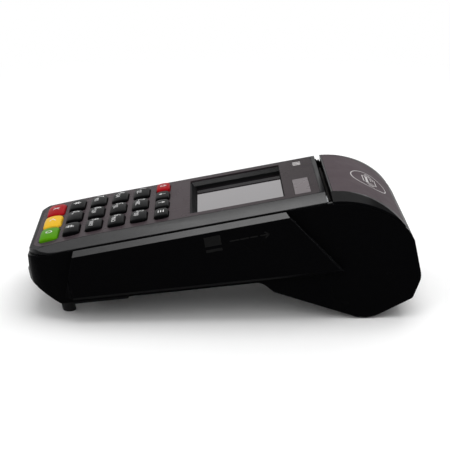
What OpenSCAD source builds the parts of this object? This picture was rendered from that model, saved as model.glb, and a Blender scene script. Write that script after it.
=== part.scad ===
// Handheld payment terminal with keypad, display, card slots and a receipt printer.
// Everything is drawn in the frame of its sloping deck: x to the user's right, y from the
// nose to the printer, z square to the deck. on_deck() then leans it back on its feet.

/* [Body] */
// Width of the body without the swipe rail
body_w = 77; // [74:0.5:82]
// Wall of the two half shells
wall = 2.2; // [1.8:0.1:2.6]
// Slope of the deck when the terminal stands on its feet
tilt = 10.6; // [9.5:0.1:11.5]
// Height of the deck above the parting line
deck_h = 4; // [3.4:0.1:4.4]
// Width of the sloping band on each side of the deck
band_w = 6; // [4:0.25:7]
// Length of the upper shell, up to the paper slot
upper_len = 140.9; // [139.5:0.1:141.2]
// Radius of the corners at the nose, seen from above
nose_r = 15; // [13:0.5:16]
// How far the top of the deck falls towards the nose
nose_fall = 1.6; // [1:0.1:1.7]
// Thickness of the printed face panel
panel_t = 0.8; // [0.6:0.1:1]
// Slope of the belly against the deck
belly_slope = 4.6; // [4:0.1:5.2]

/* [Keys] */
// Distance from row to row
row_pitch = 10.8; // [10.6:0.1:11]
// Distance from the nose to the row of coloured keys
first_row_y = 10.2; // [10:0.1:11]
// Sideways distance between the keys of a row of three
key_pitch = 18.9; // [18.8:0.1:19.2]
// Size of a number key across the body
key_w = 15.4; // [12:0.1:15.8]
// Size of a number key along the body
key_l = 7.8; // [6:0.1:8]
// Size of a coloured key across the body
colour_key_w = 17.2; // [14:0.1:17.3]
// Size of a coloured key along the body
colour_key_l = 8.8; // [7:0.1:9]
// Size of a small key of the rear row across the body
small_key_w = 12.2; // [9:0.1:12.4]
// Size of a small key of the rear row along the body
small_key_l = 6.6; // [5:0.1:7.4]
// How far the number keys stand above the face panel
key_proud = 2; // [1.6:0.1:2.6]
// Travel of a key
key_travel = 1; // [0.6:0.1:1]
// Corner radius of a key
key_r = 2.2; // [1:0.1:2.6]

/* [Display] */
// Width of the display window in the face panel
window_w = 55; // [50:0.5:56]
// Length of the display window
window_l = 44.8; // [42:0.2:45]
// How much the well under the window narrows at the front and on each side
well_taper = 2.4; // [1.5:0.1:3]
// Width of the small lamp window
lamp_w = 25; // [18:0.5:26]
// Length of the small lamp window
lamp_l = 7.5; // [5:0.1:8]

/* [Card paths] */
// Width of the swipe slot
swipe_gap = 1.8; // [1.4:0.1:2.2]
// Thickness of the swipe rail
rail_t = 3.4; // [2.8:0.1:4]
// Depth of the swipe slot
swipe_depth = 15; // [12:0.5:17]
// Width of the chip card slot
card_slot_w = 55; // [54.4:0.1:56]
// Height of the chip card slot
card_slot_h = 1.6; // [1.2:0.1:1.8]

/* [Printer] */
// Radius of the curved top of the printer cover
cover_r = 39.8; // [39.4:0.1:40.2]
// Wall of the printer cover
cover_wall = 2; // [1.6:0.1:2.2]
// Radius of the hinge barrel
barrel_r = 3; // [2.6:0.1:3.2]
// Radius of a hinge pin
hinge_pin_r = 1.2; // [0.8:0.1:1.5]
// Radius of a full paper roll
paper_r = 20; // [16:0.5:20]
// Width of the paper
paper_w = 57; // [54:0.5:57.5]
// Radius of the rubber roller
platen_r = 4.6; // [4:0.1:4.8]
// Radius of the roller's steel shaft
platen_shaft_r = 1.5; // [1.2:0.1:1.8]
// Tooth size of the printer gears, as a gear module
gear_module = 0.6; // [0.58:0.01:0.61]

/* [Battery] */
// Width of the battery pack
battery_w = 51; // [46:0.5:51]
// Length of the battery pack
battery_l = 50; // [42:0.5:50]
// Height of the battery pack
battery_h = 12.8; // [8:0.2:13]
// How far the battery door slides to come free
door_slide = 5; // [3:0.5:5.5]

/* [Hidden] */
$fn = 48;

// Clearances
slip = 0.3;
seat = 0.1;
run = 0.06;

// Body, in the deck frame
half_w = body_w / 2;
inner_w = half_w - wall;
deck_half = half_w - band_w;
rail_in = half_w + swipe_gap;
rail_out = rail_in + rail_t;
plate_t = 2;
deck_under = deck_h - panel_t - plate_t;
deck_floor = deck_h - panel_t;
fall_y = 36;
fall_r = (pow(fall_y, 2) + pow(nose_fall, 2)) / (2 * nose_fall);
parting = 0.25;
nose_y = -2.2;
top_nose_y = 0.4;

// Belly line of the grip
belly_y = 45;
belly_z = -27;
function belly_at(y) = belly_z - (y - belly_y) * tan(belly_slope);

// Chin, from the lip of the card slot to the base plate
lip_z = -8.4;
chin_top_z = -12.5;
chin_y = 11.3;
plate_drop = 4;
base_front = 16.2;
base_rear = 41.4;
base_half = 30;

// Bulge under the printer
shoulder_y = 104.5;
bulge_y = 109.6;
bulge_z = -37.6;
ridge_corner = [149.7, -59.5];
ridge_r = 16;

// The point under the ridge that touches the table
ridge_y = 148;
ridge_z = -58.4;

// Printer cover: the top is one arc, the rim along the side walls another
paper_slot = 2.7;
cover_front = upper_len + paper_slot;
cover_c = [cover_front - 4.3, deck_h + 0.1 - cover_r];
rim_c = cover_c - [0, 9.3];
rim_r = cover_r + 5.9;
rim_edge = 1;
heel = [cover_c[0] + cover_r - 6.6, -52.7];
rear_corner = [cover_c[0] + cover_r - 0.9, -43.3];
wall_top_r = rim_r - rim_edge - slip;
inlay_t = 0.8;
inlay_half = deck_half - 0.1;
inlay_end = 26.5;
hinge_angle = 22.5;
hinge = cover_c + (cover_r - barrel_r) * [cos(hinge_angle), sin(hinge_angle)];
barrel_half = 30;
rear_wall_top = hinge[1] - barrel_r - 0.4;
rear_top_y = cover_c[0] + sqrt(pow(cover_r, 2) - pow(rear_wall_top - cover_c[1], 2));

// Where the cover's arc meets the top of the side walls
cross_z = ((pow(wall_top_r, 2) - pow(cover_r, 2)) / (cover_c[1] - rim_c[1]) + rim_c[1] + cover_c[1]) / 2;
cross_a1 = asin((cross_z - cover_c[1]) / cover_r);
cross_a2 = asin((cross_z - rim_c[1]) / wall_top_r);
front_a2 = acos((cover_front - slip - rim_c[0]) / wall_top_r);

// Printer works
platen_c = [147.9, -5.4];
platen_half = paper_w / 2;
paper_c = [151.5, -33.6];
paper_core_r = 6;
frame_in = paper_w / 2 + 2.7;
frame_t = 1.6;
frame_out = frame_in + frame_t;
gear_play = 0.1;
platen_teeth = 18;
reduction_teeth = 24;
pinion_teeth = 12;
platen_pitch_r = gear_module * platen_teeth / 2;
reduction_pitch_r = gear_module * reduction_teeth / 2;
pinion_pitch_r = gear_module * pinion_teeth / 2;
lift_dir = 58;
reduction_c = platen_c - (platen_pitch_r + reduction_pitch_r + gear_play) * [cos(lift_dir), sin(lift_dir)];
pinion_dir = 171.5;
pinion_c = reduction_c + (reduction_pitch_r + pinion_pitch_r + gear_play) * [cos(pinion_dir), sin(pinion_dir)];
gear_w = 2;
gear_x = -frame_out - 0.6;
gear_tip = 0.9 * gear_module;
gear_stud_r = 1.5;
motor_r = 7.5;
motor_l = 13;
motor_shaft_r = 1;
frame_bottom = -26;
frame_front = 122;
frame_rear = platen_c[0] + 4.1;
frame_top = -1.4;
frame_floor_l = 9;
frame_floor_t = 1.4;
sink_wall_t = 1.2;
motor_boss_r = 2.5;
bushing_r = 3;
ear_in = paper_w / 2 + 0.5;
ear_t = 1.6;
head_face = platen_c[0] - platen_r - slip;
head_t = 1.1;
head_half = paper_w / 2 + 0.5;
head_bottom = -13;
sink_t = 2.4;
sink_rear = head_face - head_t;

// Keys: a cap, a flange that stops it from below, and a plunger
flange = 0.7;
flange_t = 0.8;
key_gap = 0.35;
plunger_r = 2;
plunger_l = 0.8;
colour_proud = key_proud - 0.8;
key_under = deck_under - seat - flange_t;
key_crown_l = 14;
key_crown_w = 60;
small_key_pitch = 14.3;

// Boards
mat_t = 1;
mat_top = key_under - key_travel - seat;
board_t = 1.6;
key_board_top = mat_top - mat_t;
key_board_half = 30.2;
key_board_y = [4.2, 71];
mat_half = key_board_half - 2.2;
mat_y = key_board_y + [0.4, -1];
mat_r = 5;
main_board_top = -8;
main_board_half = 29;
main_board_y = [64, 117];

// Card slot in the nose
slot_z = -5.2;
reader_top = key_board_top - board_t;
reader_bottom = -8.2;
reader_half = card_slot_w / 2 + 2;
reader_y = [4.5, 57];

// Display stack, under a rim of the deck plate
window_y = 100.1;
window_rim = 1;
lens_top = deck_under - window_rim;
lens_t = 1;
lcd_t = 3;
lamp_x = 15.5;
lamp_y = 131.1;

// Battery and its door, in the belly frame
door_half = 23;
door_ledge = 2;
door_skin = wall * 0.55;
door_y = [52.5, 98];
battery_y = 78.5;

// Screws that hold the half shells together
screw_x = 33.2;
screw_ys = [24, 100];
screw_r = 1;
screw_head_r = 1.9;
screw_head_t = 1.5;
post_r = 2.7;
post_top = -5;
screw_web = 2.4;

// Feet
foot_x = 24;
foot_y = 12.3;
foot_r = 3.1;
foot_inset = 1.8;
foot_l = 20;
rear_foot_l = 9;
rear_foot_half = 24;
rear_foot_t = 1.4;

// Points along an arc
function arc(c, r, a, b, n = 12) =
    [for (i = [0:n]) c + r * [cos(a + (b - a) * i / n), sin(a + (b - a) * i / n)]];

function unit(v) = v / norm(v);
function flat(p) = [p[0], p[1]];

// One rounded corner q between its neighbours p and s
function corner(p, q, s, r, n) =
    let(a = unit(p - q), b = unit(s - q), half = acos(a * b) / 2)
    let(c = q + unit(a + b) * r / sin(half), d = r / tan(half))
    let(u = q + a * d - c, v = q + b * d - c)
    let(start = atan2(u[1], u[0]), turn = (atan2(v[1], v[0]) - start + 540) % 360 - 180)
    [for (i = [0:n]) c + r * [cos(start + turn * i / n), sin(start + turn * i / n)]];

// Outline with rounded corners, from corners given as [x, y, radius]
function rounded(path, n = 6) =
    let(k = len(path))
    [for (i = [0:k - 1]) each path[i][2] > 0
        ? corner(flat(path[(i + k - 1) % k]), flat(path[i]), flat(path[(i + 1) % k]), path[i][2], n)
        : [flat(path[i])]];

// An open run of corners moved to its left by d; the two ends move square to their one edge
function inset(path, d) =
    let(k = len(path))
    [for (i = [0:k - 1])
        let(q = flat(path[i]), p = i > 0 ? flat(path[i - 1]) : 2 * q - flat(path[1]))
        let(s = i < k - 1 ? flat(path[i + 1]) : 2 * q - p)
        let(e = unit(q - p), f = unit(s - q), bend = e[0] * f[1] - e[1] * f[0])
        let(m = [-e[1], e[0]], w = [-f[1], f[0]], v = q + d * (m + w) / (1 + m * w))
        [v[0], v[1], path[i][2] <= 0 ? 0 : bend > 0 ? max(path[i][2] - d, 0.2) : path[i][2] + d]];

function box_corners(w, l, r) =
    [[-w / 2, -l / 2, r], [w / 2, -l / 2, r], [w / 2, l / 2, r], [-w / 2, l / 2, r]];

// Side view of the lower shell, as corners from the nose round the bottom to the rear wall
lower_corners = [
    [top_nose_y, 0, 0],
    [-0.6, -6.6, 0],
    [nose_y, lip_z, 1],
    [nose_y + 0.2, chin_top_z, 2.5],
    [chin_y, belly_at(chin_y), 1],
    [shoulder_y, belly_at(shoulder_y), 6],
    [bulge_y, bulge_z, 2],
    [ridge_corner[0], ridge_corner[1], ridge_r],
    [heel[0], heel[1], 3],
    [rear_corner[0], rear_corner[1], 9],
    [rear_top_y, rear_wall_top, 0]
];

// The rear end and top edge of the side walls
side_top = concat(
    arc(cover_c, cover_r, asin((rear_wall_top - cover_c[1]) / cover_r) + 0.5, cross_a1, 4),
    arc(rim_c, wall_top_r, cross_a2 + 1, front_a2, 18),
    [[cover_front - slip, 0]]);

// What lies inside the lower shell's skin, d deep, with the rear wall cut down for the hinge
function lower_hollow(d, top) = concat(
    rounded(inset(lower_corners, d)),
    [[195, rear_wall_top], [195, top], [top_nose_y + d, top]]);

// Where the outline reaches along the table, so that the origin lies under its middle
function table_y(p) = (p[0] - ridge_y) * cos(tilt) - (p[1] - ridge_z) * sin(tilt);
reach = [for (p = concat(rounded(lower_corners), side_top)) table_y(p)];
ridge_world_y = -(min(reach) + max(reach)) / 2;

// Placing
module on_deck() {
    translate([-(rail_out - half_w) / 2, ridge_world_y, 0])
        rotate([tilt, 0, 0])
            translate([0, -ridge_y, -ridge_z])
                children();
}

module on_belly() {
    translate([0, belly_y, belly_z])
        rotate([-belly_slope, 0, 0])
            translate([0, -belly_y, 0])
                children();
}

// A side view outline pushed across the body from x0 to x1
module across(x0, x1, points) {
    translate([x0, 0, 0])
        rotate([90, 0, 90])
            linear_extrude(x1 - x0)
                polygon(points);
}

// A cross section pushed along the body from y0 to y1
module along(y0, y1, points) {
    translate([0, y1, 0])
        rotate([90, 0, 0])
            linear_extrude(y1 - y0)
                polygon(points);
}

// A plan outline pushed up from z0 to z1
module upright(z0, z1, points) {
    translate([0, 0, z0])
        linear_extrude(z1 - z0)
            polygon(points);
}

module block(x, y, z) {
    translate([x[0], y[0], z[0]])
        cube([x[1] - x[0], y[1] - y[0], z[1] - z[0]]);
}

// A cylinder across the body, about the point c of the side view
module axle(c, r, x0, x1, fn = 48) {
    translate([x0, c[0], c[1]])
        rotate([0, 90, 0])
            cylinder(r = r, h = x1 - x0, $fn = fn);
}

module both_sides() {
    children();
    mirror([1, 0, 0]) children();
}

module rounded_plate(c, w, l, r, z0, z1) {
    translate([c[0], c[1], 0])
        upright(z0, z1, rounded(box_corners(w, l, r)));
}

// Plan outline of the shells
function plan(half, front, r) = rounded([
    [-half, front, r], [half, front, r], [half, 190, 2], [-half, 190, 2]]);

// Lower shell
module lower_outer() {
    intersection() {
        across(-half_w, half_w, concat(rounded(lower_corners), side_top));
        upright(-70, 5, plan(half_w, nose_y, nose_r));
    }
}

module lower_inner() {
    intersection() {
        across(-inner_w, inner_w, lower_hollow(wall, 12));
        upright(-70, 14, plan(inner_w, nose_y + wall, nose_r - wall));
    }
}

module screw_posts() {
    for (y = screw_ys)
        both_sides()
            translate([screw_x, y, -36])
                cylinder(r = post_r, h = 36 + post_top);
}

module screw_holes() {
    for (y = screw_ys)
        both_sides()
            translate([screw_x, y, 0]) {
                translate([0, 0, post_top - 12])
                    cylinder(r = screw_r + seat, h = 20);
                translate([0, 0, -60])
                    cylinder(r = screw_head_r + 0.2, h = 60 + post_top - screw_web);
            }
}

module board_standoffs() {
    for (y = [main_board_y[0] + 5, main_board_y[1] - 8])
        both_sides()
            translate([main_board_half - 1.4, y, -36])
                cylinder(r = 1.7, h = 36 + main_board_top - board_t);
}

// Walls and ribs that cradle the paper roll
module paper_bucket() {
    both_sides() {
        intersection() {
            across(paper_w / 2 + 0.9, paper_w / 2 + 2.3, [
                [frame_front, -60], [174, -60], [174, -34], [156, -30], [148, frame_bottom],
                [frame_front, frame_bottom]]);
            lower_solid_floor();
        }
        intersection() {
            difference() {
                across(18, 20, [[138, -62], [168, -62], [168, -46], [138, -46]]);
                axle(paper_c, paper_r + slip, 10, 30, 96);
            }
            lower_solid_floor();
        }
    }
}

module lower_solid_floor() {
    across(-half_w, half_w, lower_hollow(wall / 2, 1));
}

module hinge_bosses() {
    both_sides()
        axle(hinge, barrel_r, barrel_half + slip, inner_w + wall / 2);
}

module lower_case() {
    color("#16161a")
    on_deck()
    difference() {
        union() {
            difference() {
                lower_outer();
                lower_inner();
            }
            intersection() {
                union() {
                    screw_posts();
                    board_standoffs();
                }
                lower_solid_floor();
            }
            paper_bucket();
            hinge_bosses();
            head_bosses();
            reader_shelf();
        }
        screw_holes();
        both_sides()
            axle(hinge, hinge_pin_r + run, barrel_half - 1, inner_w);
        // Chip card slot with its flared mouth
        card_mouth();
        // Window for the magnetic head
        block([inner_w - 1, half_w + 1], head_window_y, head_window_z);
        // Sockets on the left
        block([-half_w - 1, -inner_w + 0.5], data_port_y, data_port_z);
        axle([mean(power_y), power_z], 4.2, -half_w - 1, -inner_w + 0.5);
        door_opening();
        both_sides()
            foot_hole(foot_r + seat);
        rear_foot_pocket();
    }
}

function mean(v) = (v[0] + v[1]) / 2;

module card_mouth() {
    half = card_slot_w / 2;
    block([-half, half], [nose_y - 2, 6], [slot_z - card_slot_h / 2, slot_z + card_slot_h / 2]);
    across(-half, half, [
        [nose_y - 1, slot_z + 1.6], [nose_y - 1, slot_z - 3], [1.2, slot_z - card_slot_h / 2],
        [1.2, slot_z + card_slot_h / 2]]);
}

// Shelf inside the nose that the card reader stands on
module reader_shelf() {
    intersection() {
        both_sides()
            block([reader_half - 4, reader_half - 2], [2, 40], [-40, reader_bottom]);
        lower_solid_floor();
    }
}

// Magnetic head in the right wall, on a leaf spring between two bosses
head_y = 61;
head_z = -9;
head_l = 11;
head_h = 7;
head_window_y = [head_y - head_l / 2 - slip, head_y + head_l / 2 + slip];
head_window_z = [head_z - head_h / 2 - slip, head_z + head_h / 2 + slip];
spring_x = 32.6;
spring_t = 0.4;
spring_l = 32;
boss_l = 3;

module head_bosses() {
    for (y = [head_y - spring_l / 2, head_y + spring_l / 2 - boss_l])
        block([spring_x + spring_t, inner_w + 0.5], [y, y + boss_l], [head_z - 3, head_z + 3]);
}

module magnetic_head() {
    color("silver")
    on_deck()
    union() {
        block([spring_x + spring_t, half_w - 1.2],
            [head_y - head_l / 2, head_y + head_l / 2], [head_z - head_h / 2, head_z + head_h / 2]);
        intersection() {
            translate([half_w - 5.6, head_y, head_z - head_h / 2 + 0.5])
                cylinder(r = 6, h = head_h - 1, $fn = 96);
            block([half_w - 2, half_w + 1], [head_y - 4, head_y + 4], [head_z - 4, head_z + 4]);
        }
    }
}

module head_spring() {
    color("lightgray")
    on_deck()
    union() {
        block([spring_x, spring_x + spring_t],
            [head_y - spring_l / 2, head_y + spring_l / 2], [head_z - 2, head_z + 2]);
        block([spring_x, spring_x + spring_t],
            [head_y - 4, head_y + 4], [head_z - 3, head_z + 3]);
    }
}

// Battery door: its side tabs hook over a ledge, and come free through the notches in that
// ledge once the door has slid towards the nose
door_tab_l = 5;
door_tab_pitch = 13;
door_tab_ys = [for (i = [0:2]) door_y[0] + door_slide + 4 + door_tab_pitch * i];

module door_opening() {
    on_belly() {
        block([-door_half - slip, door_half + slip],
            [door_y[0] - door_slide - slip, door_y[1] + slip], [-1, door_skin + seat / 2]);
        block([-door_half - door_ledge - slip, door_half + door_ledge + slip],
            [door_y[0] + slip, door_y[1] + slip], [door_skin, wall + 1]);
        for (y = door_tab_ys)
            block([-door_half - door_ledge - slip, door_half + door_ledge + slip],
                [y - door_slide - slip, y + door_tab_l - door_slide + slip], [-1, wall]);
    }
}

module battery_door() {
    color("#1b1b1f")
    on_deck()
    on_belly()
    difference() {
        union() {
            block([-door_half, door_half], door_y, [0, door_skin]);
            block([-door_half, door_half],
                [door_y[0] + door_slide + 2 * slip, door_y[1]], [0, wall]);
            for (y = door_tab_ys)
                block([-door_half - door_ledge, door_half + door_ledge],
                    [y, y + door_tab_l], [door_skin + seat, wall]);
        }
        // Grip grooves for the thumb
        for (i = [0:4])
            block([-8, 8], [door_y[0] + 3 + 2 * i, door_y[0] + 4 + 2 * i], [-1, 0.5]);
    }
}

module battery_pack() {
    color("#3a3d42")
    on_deck()
    on_belly()
    translate([0, battery_y, 0])
        rounded_plate([0, 0], battery_w, battery_l, 3, wall + slip, wall + slip + battery_h);
}

// Upper shell: a deck plate with sloping bands, a well for the display and a locating tongue
module upper_outer() {
    intersection() {
        along(-5, upper_len, [
            [-half_w, parting], [half_w, parting], [half_w, parting + 0.5],
            [deck_half, deck_h], [-deck_half, deck_h], [-half_w, parting + 0.5]]);
        upright(-5, 10, plan(half_w, top_nose_y, nose_r - 1));
        across(-half_w, half_w, rounded([
            [top_nose_y, -1, 0], [upper_len, -1, 0], [upper_len, deck_h, 0],
            [top_nose_y + 1.4, deck_h, 0]]));
        below_deck(0);
    }
}

// All that lies more than d under the deck's top, which falls away to the nose in a long curve
module below_deck(d) {
    union() {
        block([-half_w - 5, half_w + 5], [fall_y, upper_len + 5], [-10, deck_h - d]);
        intersection() {
            axle([fall_y, deck_h - fall_r], fall_r - d, -half_w - 5, half_w + 5, 720);
            block([-half_w - 5, half_w + 5], [nose_y - 5, fall_y], [-10, deck_h + 1]);
        }
    }
}

module upper_inner() {
    intersection() {
        along(-5, upper_len - 1.4, [
            [-inner_w, -1], [inner_w, -1], [inner_w, parting + 0.2],
            [deck_half, deck_under], [-deck_half, deck_under], [-inner_w, parting + 0.2]]);
        upright(-5, 10, plan(inner_w, top_nose_y + wall, nose_r - wall));
    }
}

// The locating tongue runs inside the lower shell's wall, but not past the magnetic head
module tongue() {
    difference() {
        intersection() {
            upright(-1.6, deck_under, plan(inner_w - 0.15, top_nose_y + wall + 0.35, nose_r - wall));
            block([-50, 50], [-5, upper_len - 1], [-5, 5]);
        }
        upright(-3, 5, plan(inner_w - 1.4, top_nose_y + wall + 1.6, nose_r - wall - 1.2));
    }
}

// Opening of the display well: its front and its sides slope inwards, its rear wall is upright
module well(z0, z1) {
    hw = window_w / 2;
    hl = window_l / 2;
    t = well_taper;
    intersection() {
        along(window_y - hl, window_y + hl,
            [[-hw + t, z0], [hw - t, z0], [hw, z1], [-hw, z1]]);
        across(-hw, hw, [
            [window_y - hl + t, z0], [window_y + hl, z0], [window_y + hl, z1],
            [window_y - hl, z1]]);
    }
}

module upper_case() {
    color("#4a4c4f")
    on_deck()
    difference() {
        union() {
            difference() {
                upper_outer();
                upper_inner();
            }
            tongue();
            // Rim of the display well
            rounded_plate([0, window_y], window_w + 4, window_l + 4, 1, lens_top, deck_floor);
            // Bosses for the case screws
            for (y = screw_ys)
                both_sides()
                    translate([screw_x, y, post_top])
                        cylinder(r = post_r - 0.1, h = deck_under - post_top - 0.6);
            // Spacers down to the key board
            for (y = [18.5, key_board_y[1] - 1.5])
                both_sides()
                    translate([key_board_half - 0.9, y, key_board_top])
                        cylinder(r = 1.2, h = deck_under - key_board_top + 0.2);
        }
        // Recess for the face panel
        difference() {
            panel_outline(0, deck_h + 1, seat);
            below_deck(panel_t);
        }
        well(lens_top - 0.01, deck_h + 0.01);
        for (k = KEYS)
            key_hole(k, deck_under - 1, deck_h + 1);
        rounded_plate([lamp_x, lamp_y], lamp_w + 2 * seat, lamp_l + 2 * seat, 0.8, -3, deck_h + 1);
        for (y = screw_ys)
            both_sides()
                translate([screw_x, y, post_top - 1])
                    cylinder(r = screw_r + 0.02, h = 6.5);
    }
}

// The panel keeps its distance from the band, so it widens where the deck falls
panel_y = [3, 138.8];
panel_rim = 0.7;
panel_front_r = 8;
panel_rear_r = 3;
fall_steps = 4;
band_run = band_w / (deck_h - parting - 0.5);
function fall(y) = fall_r - sqrt(pow(fall_r, 2) - pow(fall_y - y, 2));
function panel_half(y) = deck_half - panel_rim + band_run * fall(y);
function panel_side(grow) = [for (i = [1:fall_steps])
    let(y = panel_y[0] + (fall_y - panel_y[0]) * i / fall_steps) [panel_half(y) + grow, y, 0]];
module panel_outline(z0, z1, grow = 0) {
    front = [panel_half(panel_y[0]) + grow, panel_y[0] - grow, panel_front_r + grow];
    rear = [panel_half(fall_y) + grow, panel_y[1] + grow, panel_rear_r + grow];
    right = concat([front], panel_side(grow), [rear]);
    left = [for (i = [len(right) - 1:-1:0]) [-right[i][0], right[i][1], right[i][2]]];
    upright(z0, z1, rounded(concat(right, left)));
}

module face_panel() {
    color("#57504f")
    on_deck()
    difference() {
        intersection() {
            panel_outline(0, deck_h + 1);
            below_deck(0);
        }
        below_deck(panel_t);
        well(lens_top, deck_h + 0.01);
        rounded_plate([0, window_y], window_w, window_l, 1, 0, deck_h + 1);
        for (k = KEYS)
            key_hole(k, 0, deck_h + 1);
        rounded_plate([lamp_x, lamp_y], lamp_w + 2 * seat, lamp_l + 2 * seat, 0.8, 0, deck_h + 1);
    }
}

// Keys: each row gives [x, y, width, length, proud height]
function row_y(i) = first_row_y + row_pitch * i;
function three(i, w, l, h) = [for (j = [-1:1]) [j * key_pitch, row_y(i), w, l, h]];
KEYS = concat(
    three(0, colour_key_w, colour_key_l, colour_proud),
    [for (i = [1:4]) each three(i, key_w, key_l, key_proud)],
    [for (j = [0:3]) [(j - 1.5) * small_key_pitch, row_y(5), small_key_w, small_key_l, key_proud]]);

module key_hole(k, z0, z1) {
    rounded_plate([k[0], k[1]], k[2] + 2 * key_gap, k[3] + 2 * key_gap, key_r + key_gap, z0, z1);
}

module key(i, shade) {
    k = KEYS[i];
    top = deck_h + k[4];
    color(shade)
    on_deck()
    translate([k[0], k[1], 0])
    union() {
        intersection() {
            rounded_plate([0, 0], k[2], k[3], key_r, key_under, top);
            // The top is crowned along the body and across it
            axle([0, top - key_crown_l], key_crown_l, -k[2], k[2], 120);
            translate([0, k[3], top - key_crown_w])
                rotate([90, 0, 0])
                    cylinder(r = key_crown_w, h = 2 * k[3], $fn = 240);
        }
        rounded_plate([0, 0], k[2] + 2 * flange, k[3] + 2 * flange, key_r,
            key_under, key_under + flange_t);
        translate([0, 0, key_under - plunger_l])
            cylinder(r = plunger_r, h = plunger_l + flange_t / 2);
    }
}

module keypad_mat() {
    color("#2c2c30")
    on_deck()
    difference() {
        rounded_plate([0, mean(mat_y)], 2 * mat_half, mat_y[1] - mat_y[0], mat_r, mat_top - mat_t,
            mat_top);
        for (k = KEYS)
            translate([k[0], k[1], mat_top - mat_t - 1])
                cylinder(r = plunger_r + 0.7, h = mat_t + 2);
    }
}

module key_board() {
    color("#1f5a36")
    on_deck()
    union() {
        block([-key_board_half, key_board_half], key_board_y,
            [key_board_top - board_t, key_board_top]);
        for (k = KEYS)
            translate([k[0], k[1], key_board_top])
                cylinder(r = plunger_r + 0.3, h = 0.15);
    }
}

module card_reader() {
    color("#26262a")
    on_deck()
    difference() {
        block([-reader_half, reader_half], reader_y, [reader_bottom, reader_top]);
        block([-card_slot_w / 2, card_slot_w / 2], [reader_y[0] - 1, reader_y[1] - 5],
            [slot_z - 0.6, slot_z + 0.6]);
        // Window over the contacts
        block([-8, 8], [reader_y[1] - 24, reader_y[1] - 12], [reader_bottom - 1, slot_z]);
    }
}

// Main board with its parts
socket_t = 1.6;
chip_t = 1;
module on_main_board(c, w, l, h) {
    block([c[0] - w / 2, c[0] + w / 2], [c[1] - l / 2, c[1] + l / 2],
        [main_board_top, main_board_top + h]);
}

module main_board() {
    under = main_board_top - board_t;
    color("#1f5a36")
    on_deck()
    union() {
        block([-main_board_half, main_board_half], main_board_y, [under, main_board_top]);
        // Two small card sockets, a chip and a row of capacitors
        on_main_board([-20, 107], 12, 14, socket_t);
        on_main_board([21.5, 76], 11, 16, socket_t);
        on_main_board([8, 108], 8, 8, chip_t);
        for (i = [0:4])
            on_main_board([-23.3 + 3 * i, 93.5], 1.4, 3, chip_t);
    }
}

shield_w = 26;
shield_l = 22;
shield_h = 2.6;
board_front = main_board_y[0] + 3;
module board_shield() {
    color("silver")
    on_deck()
    rounded_plate([0, board_front + shield_l / 2], shield_w, shield_l, 1, main_board_top,
        main_board_top + shield_h);
}

cell_r = 6.2;
cell_t = 2;
module coin_cell() {
    color("gainsboro")
    on_deck()
    translate([-shield_w / 2 - cell_r - 0.8, board_front + cell_r + 1.8, main_board_top])
        cylinder(r = cell_r, h = cell_t);
}

radio_c = [21, 105];
radio_w = 12;
radio_l = 18;
radio_board_t = 0.8;
radio_can_h = 1.6;
module radio_module() {
    color("#b9a46a")
    on_deck()
    union() {
        on_main_board(radio_c, radio_w, radio_l, radio_board_t);
        translate([0, 0, radio_board_t])
            on_main_board(radio_c - [0, 2.5], radio_w - 2, radio_l - 7, radio_can_h);
    }
}

speaker_r = 6.8;
speaker_h = 4.6;
module speaker() {
    color("#3a3a3a")
    on_deck()
    translate([-13, window_y + window_l / 2 + 2 + slip + speaker_r, deck_under - speaker_h]) {
        cylinder(r = speaker_r, h = speaker_h);
        translate([0, 0, -0.8])
            cylinder(r = 4.5, h = 1);
    }
}

module display_lens() {
    color("#3c383b")
    on_deck()
    rounded_plate([0, window_y], window_w + 3, window_l + 3, 1, lens_top - lens_t, lens_top);
}

module display_module() {
    color("#a89fa6")
    on_deck()
    rounded_plate([0, window_y], window_w + 1, window_l + 1.6, 0.6,
        lens_top - lens_t - lcd_t, lens_top - lens_t);
}

module status_window() {
    color("#9c9298")
    on_deck()
    union() {
        rounded_plate([lamp_x, lamp_y], lamp_w, lamp_l, 0.7, deck_under, deck_h);
        rounded_plate([lamp_x, lamp_y], lamp_w + 2, lamp_l + 2, 0.7, deck_under - 1, deck_under);
    }
}

// Power and data sockets behind the left wall, hung from the main board
data_port_y = [73, 82];
data_port_z = [-14.4, -11];
power_y = [85.5, 94.5];
power_z = -13.6;
socket_top = main_board_top - board_t;

module power_socket() {
    color("#202024")
    on_deck()
    union() {
        difference() {
            block([-inner_w + seat, -main_board_half + 2.2], power_y, [power_z - 4, socket_top]);
            axle([mean(power_y), power_z], 2.8, -half_w, -main_board_half - 1);
        }
        axle([mean(power_y), power_z], 0.8, -inner_w + 1.2, -main_board_half);
    }
}

module data_port() {
    color("silver")
    on_deck()
    difference() {
        block([-inner_w + seat, -main_board_half + 2.2], data_port_y,
            [data_port_z[0] - 0.4, socket_top]);
        block([-half_w, -main_board_half - 2], [data_port_y[0] + 0.6, data_port_y[1] - 0.6],
            [data_port_z[0] + 0.3, data_port_z[1] - 0.3]);
    }
}

// Swipe rail on the right: an outer wall, a foot below the slot, and drawn-in ends
rail_front = 22.7;
rail_toe = 13;
rail_rear = 121.6;
rail_lift = 2.4;
rail_drop = 1.9;
rail_chamfer = 1.4;
rail_slant = 0.65;

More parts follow.
